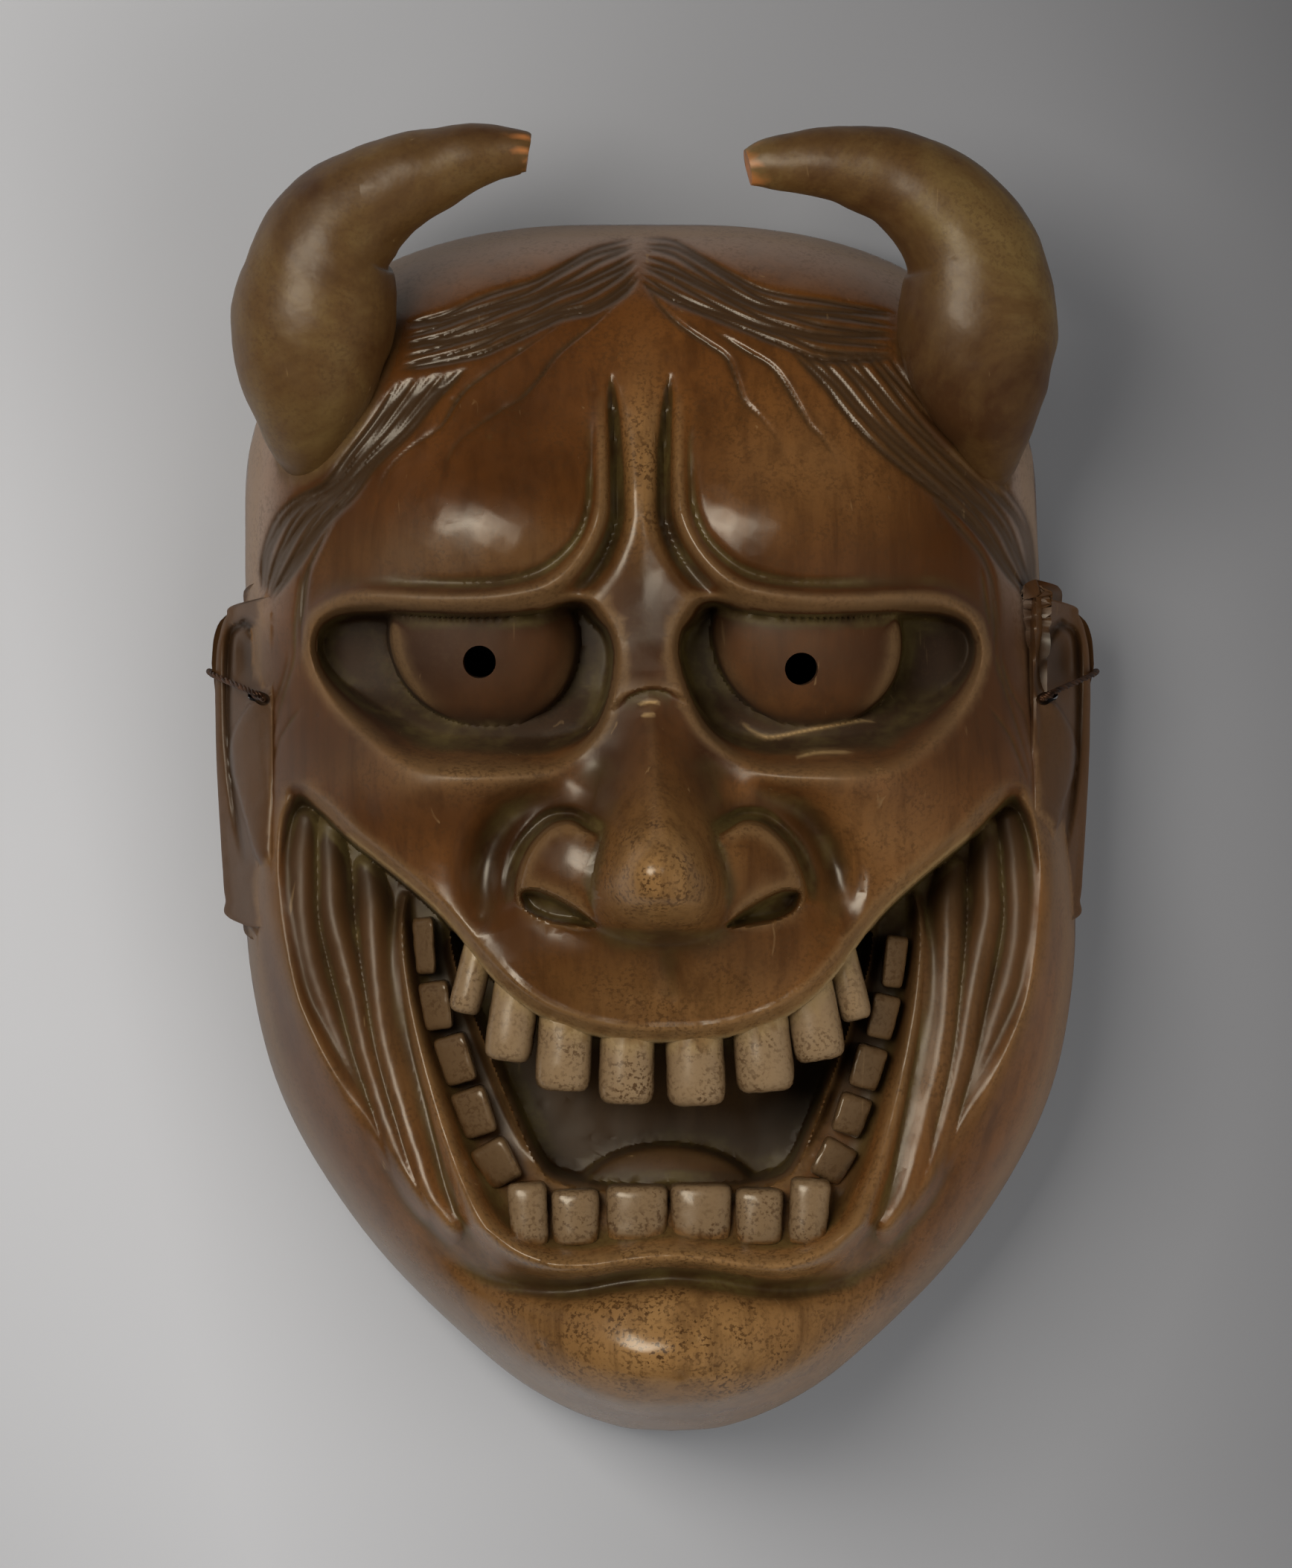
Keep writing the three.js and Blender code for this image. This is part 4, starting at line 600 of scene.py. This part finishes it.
# The teeth are worn square blocks, each cut free of its neighbours: eight hang from the upper jaw,
# six stand behind the lower lip, and five small ones line each side of the jaw.
TEETH = [
    (-35.8, -37.5, 6, 18, -14, 68, 57), (-27.9, -46.2, 8.8, 19.2, -8, 71.5, 58), (-17.6, -52, 10.2, 19.3, -3, 73, 58.5),
    (-5.2, -54.4, 10.2, 19.7, -1, 73.5, 58.5), (8.4, -54.6, 10.8, 20, 2, 73.5, 58.5),
    (21.8, -52, 10.7, 19.7, 5, 73, 58.5), (31.9, -46.2, 9.6, 19, 10, 71.5, 58), (38.6, -38.6, 6, 18.5, 14, 68, 57),
    (-24.9, -86.8, 7.2, 13.5, 4, 67, 52), (-15.5, -87.2, 8.8, 11.5, 1, 66.5, 52),
    (-3.2, -86.6, 11.4, 11.8, 0, 66.5, 52),
    (9.6, -86.4, 11.2, 12, 0, 66.5, 52), (21.2, -87, 8.8, 11.5, -1, 66.5, 52), (31.2, -86, 7.4, 13.5, -4, 67, 52),
    (-46.0, -33, 4.0, 11.5, 4, 57, 44), (-43.6, -45, 5.6, 9.8, 9, 59, 45), (-39.7, -55.8, 6.2, 10, 17, 60, 46),
    (-35.9, -66.4, 6.6, 9.8, 19, 61, 47), (-31.4, -76.6, 7.2, 9.2, 29, 62.5, 48),
    (48.7, -36.2, 4.2, 10.5, -7, 57, 44), (46.3, -47.2, 5.2, 9, -13, 59, 45), (43.2, -57.4, 5.8, 8.8, -16, 60, 46),
    (39.9, -66.9, 6, 8.2, -19, 61, 47), (36.2, -76.2, 6.6, 8.2, -29, 62.5, 48),
]
for number, (x, y, width, length, turn, high, low) in enumerate(TEETH):
    bpy.ops.mesh.primitive_cube_add(size=2)
    tooth = bpy.context.object
    bpy.ops.object.mode_set(mode="EDIT")
    bpy.ops.mesh.select_all(action="SELECT")
    bpy.ops.mesh.subdivide(number_cuts=9)
    bpy.ops.object.mode_set(mode="OBJECT")
    at = vertices_of(tooth)
    upper, along_jaw = number < 8, number > 13
    corners = 6 if upper else 8
    worn_by = (np.abs(at) ** corners).sum(1)[:, None] ** (1 / corners)
    at = at / worn_by * np.array([width * 1.08, length, high - low]) / 2
    # the front of a tooth is round, or slants down from a crest on those along the jaw; all narrow towards the gum
    across_tooth = 2 * at[:, 0] / width
    drop = 1.9 * (1 - np.sign(x) * -across_tooth) * .9 if along_jaw else (1.7 if upper else 1.0) * across_tooth ** 2
    at[:, 2] -= np.where(at[:, 2] > 0, drop, 0)
    toward_gum = at[:, 1] / length + .5 if upper else .5 - at[:, 1] / length
    at[:, 0] *= 1.04 - .08 * toward_gum
    at += .06 * np.stack([waves(at[:, 1], at[:, 2], 3, 30 + number), waves(at[:, 0], at[:, 2], 3, 60 + number),
                          waves(at[:, 0], at[:, 1], 2.5, 90 + number)], 1)
    a = math.radians(turn)
    placed = np.stack([x + at[:, 0] * math.cos(a) - at[:, 1] * math.sin(a),
                       y + at[:, 0] * math.sin(a) + at[:, 1] * math.cos(a), at[:, 2] + (high + low) / 2], 1)
    tooth.data.vertices.foreach_set("co", (placed * MM).ravel())
    tooth.data.update()
    if number:
        combine(teeth, tooth, "UNION")
    else:
        teeth = tooth
combine(mask, teeth, "UNION")

# Behind, the block is hollowed to an even wall that follows the face, with a flat rim left all round.
# The two eye holes and the slanting hole beside each ear are bored through.
WALL, RIM, EYE_WALL = 8.5, 9.0, 6.0
EYE_HOLES, EYE_BORE = [(-34.6, 24.2), (29.6, 22.8)], 6.6
CORD_FROM, CORD_TO, CORD_BORE = (77.1, 16.1, 53), (87, 19.6, 6.5), 2.6
cell = 1.2
across, up = np.arange(-90, 91, cell), np.arange(-139, 121, cell)
gx, gy = np.meshgrid(across, up)
reach = math.ceil(WALL / cell)
gu = np.abs(gx - through(DRIFT, gy))
outer = carved(gx.ravel(), gy.ravel()).reshape(gx.shape)
outer[np.hypot(gu, gy - CENTRE_Y) >= outline_radius(np.arctan2(gy - CENTRE_Y, gu))] = 0
padded = np.pad(outer, reach)
inner = np.full(gx.shape, 1e3)
for a in range(-reach, reach + 1):
    for b in range(-reach, reach + 1):
        d = (a * a + b * b) * cell * cell
        if d <= WALL * WALL:
            part = padded[reach + a:reach + a + gx.shape[0], reach + b:reach + b + gx.shape[1]]
            inner = np.minimum(inner, part - math.sqrt(WALL * WALL - d))
soft = np.pad(inner, 2, mode="edge")
soft = sum(soft[a:a + gx.shape[0], b:b + gx.shape[1]] for a in range(5) for b in range(5)) / 25
inner = np.minimum(inner, soft)


def read(values, x, y):
    """Reads the plan's grid of values between its points."""
    fx, fy = np.clip((x - across[0]) / cell, 0, len(across) - 1.001), np.clip((y - up[0]) / cell, 0, len(up) - 1.001)
    i, j = fx.astype(int), fy.astype(int)
    a, b = fx - i, fy - j
    return ((values[j, i] * (1 - a) + values[j, i + 1] * a) * (1 - b)
            + (values[j + 1, i] * (1 - a) + values[j + 1, i + 1] * a) * b)


def behind(x, y):
    d = np.hypot(np.abs(x - through(DRIFT, y)) - EYE_AT[0], y - EYE_AT[1] + 8)
    # the marks of a gouge run across the hollow
    gouge = .22 * np.abs(np.sin((y + 3 * np.sin(x / 14)) / 2.6)) + .12 * waves(x, y, 7, 41)
    return np.maximum(read(inner, x, y) + (WALL - EYE_WALL) * (1 - smooth(8, 15, d)) - gouge, -1.5)


combine(mask, relief_body("hollow", (150, 190), behind, RIM, -3.0), "DIFFERENCE")


def drill(start, end, diameter):
    """The straight round rod of air between two points."""
    a, b = Vector(start) * MM, Vector(end) * MM
    bpy.ops.mesh.primitive_cylinder_add(vertices=48, radius=diameter / 2 * MM, depth=(b - a).length,
                                        location=(a + b) / 2, rotation=(b - a).to_track_quat("Z", "Y").to_euler())
    bpy.ops.object.transform_apply(location=True, rotation=True, scale=True)
    return bpy.context.object


holes = [drill((x * .985, y + 1.4, 34), (x * 1.006, y - .7, 76), EYE_BORE) for x, y in EYE_HOLES]
holes += [drill((side * CORD_FROM[0],) + CORD_FROM[1:], (side * CORD_TO[0],) + CORD_TO[1:], CORD_BORE)
          for side in (-1, 1)]
for hole in holes[1:]:
    combine(holes[0], hole, "UNION")
combine(mask, holes[0], "DIFFERENCE")

only(mask)
count = sum(len(p.vertices) - 2 for p in mask.data.polygons)
thin = mask.modifiers.new("thin", "DECIMATE")
thin.ratio = min(1, HEAD_TRIANGLES / count)
bpy.ops.object.modifier_apply(modifier=thin.name)
bpy.ops.object.shade_smooth_by_angle(angle=math.radians(50))
print("mask triangles", count, "to", len(mask.data.polygons))

# Its finish: red-brown varnished wood with an upright grain, rubbed to gold where hands reach, olive horns, dark hair,
# dust in the cuts and worn chips at the horn tips, with painted shade in the cuts, hollows, mouth and ears and painted
# sheen on the steep sides. Each such mark is kept on the mesh, point by point.
at = vertices_of(mask) / MM
x, y, z = at.T


def evened(values, width):
    """Averages a grid over about this width, in millimetres."""
    for _ in range(3):
        n = max(1, round(width / cell / 2))
        p = np.pad(values, n, mode="edge")
        values = sum(p[k:k + values.shape[0], n:-n] for k in range(2 * n + 1)) / (2 * n + 1)
        p = np.pad(values, n, mode="edge")
        values = sum(p[n:-n, k:k + values.shape[1]] for k in range(2 * n + 1)) / (2 * n + 1)
    return values


facing = z > read(inner, x, y) + WALL * .45
block = read(outer, x, y)
# fine and wide: how far each point lies below its surroundings; they drive the dust, the rubbed ridges and the painted
# shade in cuts and hollows
fine = np.where(facing, read(evened(outer, 3), x, y) - z, 0)
wide = np.where(facing, read(evened(outer, 12), x, y) - z, 0)
added = smooth(.8, 2.2, z - block)      # teeth, ears and horns stand above the block itself
fine, wide = fine * (1 - added * (fine < 0)), wide * (1 - added * (wide < 0))
u = np.abs(x - through(DRIFT, y))
across_plan = np.hypot(u, y - CENTRE_Y) / outline_radius(np.arctan2(y - CENTRE_Y, u))
strands = np.zeros_like(x)
hair = cut_hair(strands, x, y) * facing
horny = np.zeros_like(x)
tip = np.zeros_like(x)
for path in horn_lines:
    near = np.nonzero((np.abs(x - path[:, 0].mean()) < 45) & (y > 55))[0]
    best = np.full(len(near), 1e9)
    for p in path:
        d = np.sqrt(((at[near] - p[:3]) ** 2).sum(1)) - p[3]
        best = np.minimum(best, d)
    horny[near] = np.maximum(horny[near], 1 - smooth(.2, 1.6, best))
    end = path[-1]
    d = np.sqrt(((at[near] - end[:3]) ** 2).sum(1))
    tip[near] = np.maximum(tip[near], 1 - smooth(2.4, 4.6, d + 1.2 * waves(y[near], z[near], 3, 51)))
fine, wide = fine * (1 - horny), wide * (1 - horny)
crack = np.zeros_like(x)
for one in CRACKS:
    groove(crack, x, y, tapered(even_points(one, 20), 1, .30, (.2, .2)))
crack *= facing
# the steep sides near the rim and the crown: bare grey wood, with painted sheen
bare_sides_and_sheen = (1 - smooth(.25, .85, vertices_of(mask, "normal")[:, 2])) * smooth(.80, .95, across_plan) * (1 - added)
bare_sides_and_sheen *= .12 + .88 * smooth(26, 44, y)
# painted shade in the ear's crease, hem and shell, which the steep slab would barely show
ear_hollow_shade = np.zeros_like(x)
ridge(ear_hollow_shade, np.abs(x), y, EAR_CREASE)
ridge(ear_hollow_shade, np.abs(x), y, EAR_HEM)
cx, cy, rx, ry, h = EAR_SHELL
ear_hollow_shade = np.clip(-ear_hollow_shade / 3 + .7 * np.exp(-((np.abs(x) - cx) / rx) ** 2 - ((y - cy) / ry) ** 2), 0, 1)
ear_part = added * (np.abs(y - 4) < 36) * smooth(75, 77.5, np.abs(x)) * (z > 2)
tooth_part, tooth_high = np.zeros_like(x), np.zeros_like(x)
for number, (cx, cy, width, length, turn, high, low) in enumerate(TEETH):
    a = math.radians(turn)
    p, q = (x - cx) * math.cos(a) + (y - cy) * math.sin(a), -(x - cx) * math.sin(a) + (y - cy) * math.cos(a)
    near = np.maximum(np.abs(p) / (width * .54), np.abs(q) / (length / 2))
    rubbed = 1 if number < 8 else .75 if number < 14 else .3
    part = (1 - smooth(1.0, 1.08, near)) * added * smooth(low - 2, low + 4, z)
    tooth_part = np.maximum(tooth_part, part)
    tooth_high = np.where(part > .3, smooth(high - 7, high, z) * rubbed, tooth_high)


def blots(spots):
    """How strongly a set of soft oval blots marks each point: middle, half width, half height, strength."""
    return np.clip(sum(h * np.exp(-((x - cx) / rx) ** 2 - ((y - cy) / ry) ** 2) for cx, cy, rx, ry, h in spots), 0, 1)


# where the varnish is worn to gold: nose, lip, chin, and the right cheek and brow
WORN_GOLD = [
    (1, -18, 13, 15, 1), (2, -43, 26, 9, .5), (3, -112, 46, 19, 1), (46, -12, 20, 15, .25), (32, 62, 20, 14, .28),
    (-2, 60, 5, 18, .8), (-36, 44, 26, 7, .45), (3, -62, 34, 9, .7), (0, -88, 34, 9, .35), (-50, -50, 14, 30, .2),
    (55, -50, 14, 30, .25), (-40, 2, 22, 5, .4)]
# where the wood is painted darker: painted shade between the eyes, beside and under the nose, in the eye sockets and
# under the horns, and a darker stain on the left cheek
SHADE_AND_STAIN = [
    (-1.5, 33, 7, 13, 1), (-9.5, 7, 5, 13, 1), (11, 7, 5, 13, 1), (-24, -10, 7, 11, .6), (26, -10, 7, 11, .6),
    (-34, 28, 22, 16, .55), (31, 27, 22, 16, .5), (-66, 66, 11, 12, .8), (66, 66, 11, 12, .7),
    (-55, -5, 16, 12, .5), (-52, 22, 10, 12, .7), (49, 22, 10, 12, .6), (2, -34, 16, 5, .4)]
# where the varnish is dull: the flanks and the sockets
DULL = [(-84, -30, 22, 60, .4), (84, -30, 18, 60, .3), (-42, 20, 32, 18, 1.6), (40, 20, 32, 18, 1.6)]
# the inside of the mouth, whose low hollow is given painted shade
mouth = np.zeros_like(x)
i, depth, _ = inside(u, y, MOUTH, 2)
mouth[i] = smooth(-.5, 2, depth) * facing[i]
# a paler line along the upper lip's edge: rubbed wear with a painted highlight
lip_edge_wear_and_highlight, _ = nearest(line([p[:2] + (0,) for p in MOUTH[2:15]]), u, y)
lip_edge_wear_and_highlight = (1 - smooth(.3, 1.1, np.abs(lip_edge_wear_and_highlight - .3))) * facing * smooth(52, 60, z)
SUNK_BY, DEEP_BY = 2.5, 14          # how far below its surroundings a point counts as fully sunk or deep
marks = {"sunk": np.clip(fine / SUNK_BY, -1, 1), "deep": np.clip(wide / DEEP_BY, -1, 1), "hair": hair, "horn": horny,
         "side": bare_sides_and_sheen, "gold": blots(WORN_GOLD), "tip": tip, "crack": np.clip(crack, 0, 1),
         "shaded_mouth_hollow": mouth * smooth(62, 46, z) * (1 - tooth_part), "ear": ear_part, "ear_hollow_shade": ear_hollow_shade * ear_part,
         "tooth": tooth_part, "rubbed": tooth_high, "shade_and_stain": blots(SHADE_AND_STAIN), "dull": blots(DULL), "lip_edge_wear_and_highlight": lip_edge_wear_and_highlight}
for name, values in marks.items():
    mask.data.attributes.new(name, "FLOAT", "POINT").data.foreach_set("value", values.astype(np.float32))


class Nodes:
    """Builds a material's nodes in the order they are read."""

    def __init__(self, name):
        self.material = bpy.data.materials.new(name)
        self.material.use_nodes = True
        self.tree = self.material.node_tree
        self.shader = self.tree.nodes["Principled BSDF"]
        self.place = self.add("ShaderNodeTexCoord").outputs["Object"]

    def add(self, kind, **settings):
        node = self.tree.nodes.new(kind)
        for key, value in settings.items():
            setattr(node, key, value)
        return node

    def link(self, value, socket):
        if isinstance(value, bpy.types.NodeSocket):
            self.tree.links.new(value, socket)
        else:
            socket.default_value = value

    def math(self, operation, a, b=0.0, clamp=False):
        node = self.add("ShaderNodeMath", operation=operation, use_clamp=clamp)
        self.link(a, node.inputs[0])
        self.link(b, node.inputs[1])
        return node.outputs[0]

    def times(self, a, b, clamp=False):
        return self.math("MULTIPLY", a, b, clamp)

    def kept(self, name, strength=None):
        """A mark kept on the mesh, at this strength."""
        mark = self.add("ShaderNodeAttribute", attribute_name=name).outputs["Fac"]
        return mark if strength is None else self.times(mark, strength)

    def noise(self, scale, detail=4.0, rough=.55, stretch=(1, 1, 1), distortion=0.0):
        mapping = self.add("ShaderNodeMapping")
        mapping.inputs["Scale"].default_value = stretch
        self.link(self.place, mapping.inputs["Vector"])
        node = self.add("ShaderNodeTexNoise")
        self.link(mapping.outputs[0], node.inputs["Vector"])
        node.inputs["Scale"].default_value = scale
        node.inputs["Detail"].default_value = detail
        node.inputs["Roughness"].default_value = rough
        node.inputs["Distortion"].default_value = distortion
        return node.outputs["Fac"]

    def ramp(self, value, *stops):
        node = self.add("ShaderNodeValToRGB")
        self.link(value, node.inputs[0])
        band = node.color_ramp
        while len(band.elements) < len(stops):
            band.elements.new(.5)
        for element, (at, colour) in zip(band.elements, stops):
            element.position = at
            element.color = (*colour, 1) if isinstance(colour, tuple) else (colour, colour, colour, 1)
        return node.outputs[0]

    def mix(self, share, a, b, how="MIX"):
        node = self.add("ShaderNodeMix", data_type="RGBA", blend_type=how)
        self.link(share, node.inputs["Factor"])
        self.link((*a, 1) if isinstance(a, tuple) else a, node.inputs["A"])
        self.link((*b, 1) if isinstance(b, tuple) else b, node.inputs["B"])
        return node.outputs["Result"]

    def bump(self, height, strength, distance, normal=None):
        node = self.add("ShaderNodeBump")
        node.inputs["Strength"].default_value = strength
        node.inputs["Distance"].default_value = distance
        self.link(height, node.inputs["Height"])
        if normal is not None:
            self.link(normal, node.inputs["Normal"])
        return node.outputs[0]


wood = Nodes("varnished_wood_with_painted_shade")
grain = wood.noise(30, 5, .6, (1, .14, 1), .6)
streaks = wood.noise(230, 5, .65, (1, .07, 1), .3)
bands = wood.noise(10, 3, .5, (1, .25, .6), .4)
patches = wood.noise(16, 4, .6)
sunk, deep = wood.kept("sunk"), wood.kept("deep")
# the wood's own varnish tones; the coats below lay wear, dust, stain, painted shade and painted sheen over them
varnish = wood.ramp(bands, (.32, (.074, .0230, .0042)), (.5, (.116, .0405, .0078)), (.68, (.172, .070, .0165)))
golden = wood.ramp(patches, (.3, (.150, .070, .0190)), (.55, (.240, .126, .042)), (.75, (.33, .190, .072)))
# teeth are the same wood, rubbed yellow at their fronts; those along the jaw stay dark
front_tooth = wood.mix(wood.kept("rubbed", .85), (.058, .028, .0090), (.215, .140, .072))
horn_colour = wood.ramp(wood.noise(24, 6, .68, (1, 1, 1), .5), (.34, (.040, .0150, .0038)),
                        (.50, (.080, .040, .0105)), (.68, (.140, .088, .026)))
# olive dust lies in the cuts, but not in the hair
olive = wood.times(wood.ramp(wood.noise(70, 4, .65), (.42, 0.0), (.64, .55)), wood.ramp(sunk, (.06, 0.0), (.4, 1.0)))
olive = wood.times(olive, wood.math("SUBTRACT", 1.0, wood.kept("hair"), True))
# a fine dark stipple lies under the varnish, strongest where the gold shows
pores = wood.ramp(wood.noise(1150, 2, .6), (.50, 0.0), (.60, 1.0))
spread = wood.ramp(wood.noise(110, 4, .7), (.38, .15), (.60, 1.0))
shown = wood.math("ADD", wood.kept("gold", .55), wood.kept("tooth", .1))
pores = wood.times(pores, wood.times(spread, wood.math("ADD", shown, .38), True))
scratches = wood.ramp(wood.noise(420, 2, .5, (1, .05, 1), .8), (.72, 0.0), (.78, .3))
COATS = [
    (wood.ramp(patches, (.40, .7), (.56, 0.0)), (.040, .0128, .0026)),
    (wood.times(wood.ramp(grain, (.42, 0.0), (.62, 1.0)), .38), (.038, .0135, .0038)), (wood.kept("gold"), golden),
    (wood.times(wood.ramp(streaks, (.46, 0.0), (.68, 1.0)), .5), (.032, .0108, .0026)),
    # painted shade in the hollows and under the horns, with a darker stain on the left cheek
    (wood.times(wood.kept("shade_and_stain"), wood.ramp(patches, (.3, .95), (.7, .65))), (.024, .0074, .0017)),
    # the sides and the crown have lost their varnish and are greyer, with painted sheen where they turn steeply away;
    # ridges are rubbed paler
    (wood.kept("side", .8), (.26, .186, .142)),
    (wood.ramp(wood.times(sunk, -1), (.10, 0.0), (.6, .42)), (.19, .108, .042)),
    # painted shade: cuts are painted dark, and deep places nearly black
    (wood.ramp(sunk, (.02, 0.0), (.3, .62), (1.0, .8)), (.034, .0215, .0065)),
    (wood.ramp(deep, (.03, 0.0), (.28, .72), (.8, .92)), (.019, .0072, .0018)),
    # painted shade darkens the low hollow of the mouth
    (wood.kept("shaded_mouth_hollow", .72), (.034, .0165, .0048)), (wood.kept("ear", .8), (.062, .0285, .0105)),
    # painted shade darkens the ear's crease, hem and shell
    (wood.kept("ear_hollow_shade", .9), (.012, .0055, .0024)), (wood.kept("tooth"), front_tooth), (olive, (.105, .074, .020)),
    (wood.kept("hair", .75), (.036, .0185, .0085)), (wood.kept("horn", .9), horn_colour),
    (pores, (.044, .0190, .0056)), (scratches, (.28, .17, .07)), (wood.kept("crack", .8), (.40, .25, .10)),
    # painted highlight and rubbed wear along the upper lip's edge
    (wood.kept("lip_edge_wear_and_highlight", .5), (.27, .18, .075)), (wood.kept("tip"), (.34, .12, .03)),
]
for share, colour in COATS:
    varnish = wood.mix(share, varnish, colour)
wood.link(varnish, wood.shader.inputs["Base Color"])
GLOSS = [(wood.ramp(sunk, (.05, 0.0), (.5, .7)), .42), (wood.kept("dull"), .72), (wood.kept("shaded_mouth_hollow", .7), .62),
         (wood.kept("horn"), .44), (wood.kept("side", .8), .55)]
rough = wood.ramp(wood.noise(40, 5, .65), (.3, .21), (.7, .32))
for share, value in GLOSS:
    rough = wood.mix(share, rough, (value, value, value))
wood.link(rough, wood.shader.inputs["Roughness"])
wood.shader.inputs["Specular IOR Level"].default_value = .48
wood.shader.inputs["Specular Tint"].default_value = (1, .92, .76, 1)
PORE_DEPTH, NICK_RISE = .00005, .0006
fibres = wood.math("ADD", wood.times(pores, -.4), wood.noise(260, 4, .6, (1, .35, 1)))
nicks = wood.times(wood.noise(150, 3, .6), wood.math("ADD", wood.kept("horn", .9), .1))
wood.link(wood.bump(nicks, .30, NICK_RISE, wood.bump(fibres, .3, PORE_DEPTH)), wood.shader.inputs["Normal"])
mask.data.materials.clear()
mask.data.materials.append(wood.material)
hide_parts("hannya_mask")
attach(mask, "root")

# The ear wires are thin darkened strands twisted together, through the hole beside each ear and round its edge.
WIRE_PATH = [
    (79.45, 17, 42), (79.1, 17.3, 45.2), (80.6, 18, 45.8), (83.4, 19.2, 40.6), (86.9, 20.6, 31), (90.2, 22, 22.4),
    (91.5, 22.8, 15.6), (91.4, 22.8, 9.6), (90.4, 22, 5.4), (88.6, 21, 3.6), (87.1, 20, 5.2), (86.55, 19.44, 8.6)]
STRANDS, STRAND, TWIST, TURNS = 3, .3, .33, 13
metal = Nodes("dark_wire")
tarnish = metal.noise(400, 3)
metal.link(metal.ramp(tarnish, (.35, (.035, .017, .009)), (.7, (.14, .062, .028))), metal.shader.inputs["Base Color"])
metal.link(metal.ramp(tarnish, (.3, .4), (.7, .65)), metal.shader.inputs["Roughness"])
metal.shader.inputs["Metallic"].default_value = .8
for side, node in ((-1, "ear_wire_left"), (1, "ear_wire_right")):
    path = line([(side * p[0], p[1], p[2]) for p in WIRE_PATH], True, 24)[:-1]
    along = np.roll(path, -1, 0) - np.roll(path, 1, 0)
    along /= np.linalg.norm(along, axis=1)[:, None]
    first = np.cross(along, (0, 1, 0))
    first /= np.linalg.norm(first, axis=1)[:, None]
    second = np.cross(along, first)
    bpy.ops.curve.primitive_nurbs_path_add()
    wire = bpy.context.object
    wire.name = node + "_strands"
    wire.data.splines.clear()
    for strand in range(STRANDS):
        turn = np.linspace(0, 2 * math.pi * TURNS, len(path), endpoint=False) + strand * 2 * math.pi / STRANDS
        here = path + TWIST * (first * np.cos(turn)[:, None] + second * np.sin(turn)[:, None])
        spline = wire.data.splines.new("POLY")
        spline.points.add(len(here) - 1)
        spline.points.foreach_set("co", np.c_[here * MM, np.ones(len(here))].ravel())
        spline.use_cyclic_u = True
    wire.data.dimensions, wire.data.bevel_depth, wire.data.bevel_resolution = "3D", STRAND * MM, 3
    only(wire)
    bpy.ops.object.convert(target="MESH")
    wire = bpy.context.object
    bpy.ops.object.shade_smooth()
    wire.data.materials.clear()
    wire.data.materials.append(metal.material)
    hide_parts(node)
    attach(wire, "root")

# A pale floor under the mask with painted light and shade: brightest on the left, painted darker towards the right and
# at its edges.
# A large soft light stands high on the left, with a wide fill on the right that gives no mirrored glare on the varnish.
FLOOR_SIZE = 8
bpy.ops.mesh.primitive_plane_add(size=FLOOR_SIZE)
floor = bpy.context.object
floor.name = "floor"
pale = Nodes("paper_with_painted_light")
spot = pale.add("ShaderNodeMapping")
spot.inputs["Rotation"].default_value = (0, 0, -.245)
pale.link(pale.place, spot.inputs["Vector"])
spread = pale.add("ShaderNodeSeparateXYZ")
pale.link(spot.outputs[0], spread.inputs[0])
# painted light: bright on the left of the mask, painted darker to the right, and painted shade towards the edges below
shade = pale.ramp(pale.math("ADD", spread.outputs["X"], .5), (.33, (.462, .462, .468)), (.38, (.505, .505, .512)),
                  (.5, (.348, .348, .353)), (.59, (.228, .228, .232)), (.67, (.122, .122, .125)))
edges = pale.ramp(pale.math("ABSOLUTE", spread.outputs["Y"]), (.02, 1.0), (.17, .85))
pale.link(pale.mix(1.0, shade, edges, "MULTIPLY"), pale.shader.inputs["Base Color"])
pale.shader.inputs["Roughness"].default_value = .85
pale.shader.inputs["Specular IOR Level"].default_value = .2
floor.data.materials.append(pale.material)


def soft_light(name, place, size, power, colour=(1, 1, 1), mirrored=True):
    """A rectangular soft light turned towards the mask."""
    bpy.ops.object.light_add(type="AREA", location=place)
    light = bpy.context.object
    light.name = name
    light.data.shape, light.data.size, light.data.size_y = "RECTANGLE", *size
    light.data.energy, light.data.color = power, colour
    light.visible_glossy = mirrored
    light.rotation_euler = (Vector(place) - Vector((0, 0, .04))).to_track_quat("Z", "Y").to_euler()


soft_light("key", (-.48, .29, 1.1), (.48, .66), 11, (1, .97, .93))
soft_light("side", (-1.3, .2, .7), (.5, .9), 1.5, mirrored=False)
soft_light("fill", (1.15, -.7, 1.05), (2.2, 2.2), 21, mirrored=False)
# the studio's walls are pale low down and dark overhead, and don't mirror in the varnish either
world = bpy.data.worlds.new("studio")
world.use_nodes = True
sky = world.node_tree.nodes
looking = sky.new("ShaderNodeTexCoord")
height = sky.new("ShaderNodeSeparateXYZ")
walls = sky.new("ShaderNodeValToRGB")
world.node_tree.links.new(looking.outputs["Generated"], height.inputs[0])
world.node_tree.links.new(height.outputs["Z"], walls.inputs[0])
walls.color_ramp.elements[0].position, walls.color_ramp.elements[0].color = .55, (.50, .505, .52, 1)
walls.color_ramp.elements[1].position, walls.color_ramp.elements[1].color = .88, (.03, .03, .03, 1)
world.node_tree.links.new(walls.outputs[0], sky["Background"].inputs["Color"])
sky["Background"].inputs["Strength"].default_value = 1.0
world.cycles_visibility.glossy = False
bpy.context.scene.world = world
bpy.context.scene.view_settings.view_transform = "Standard"
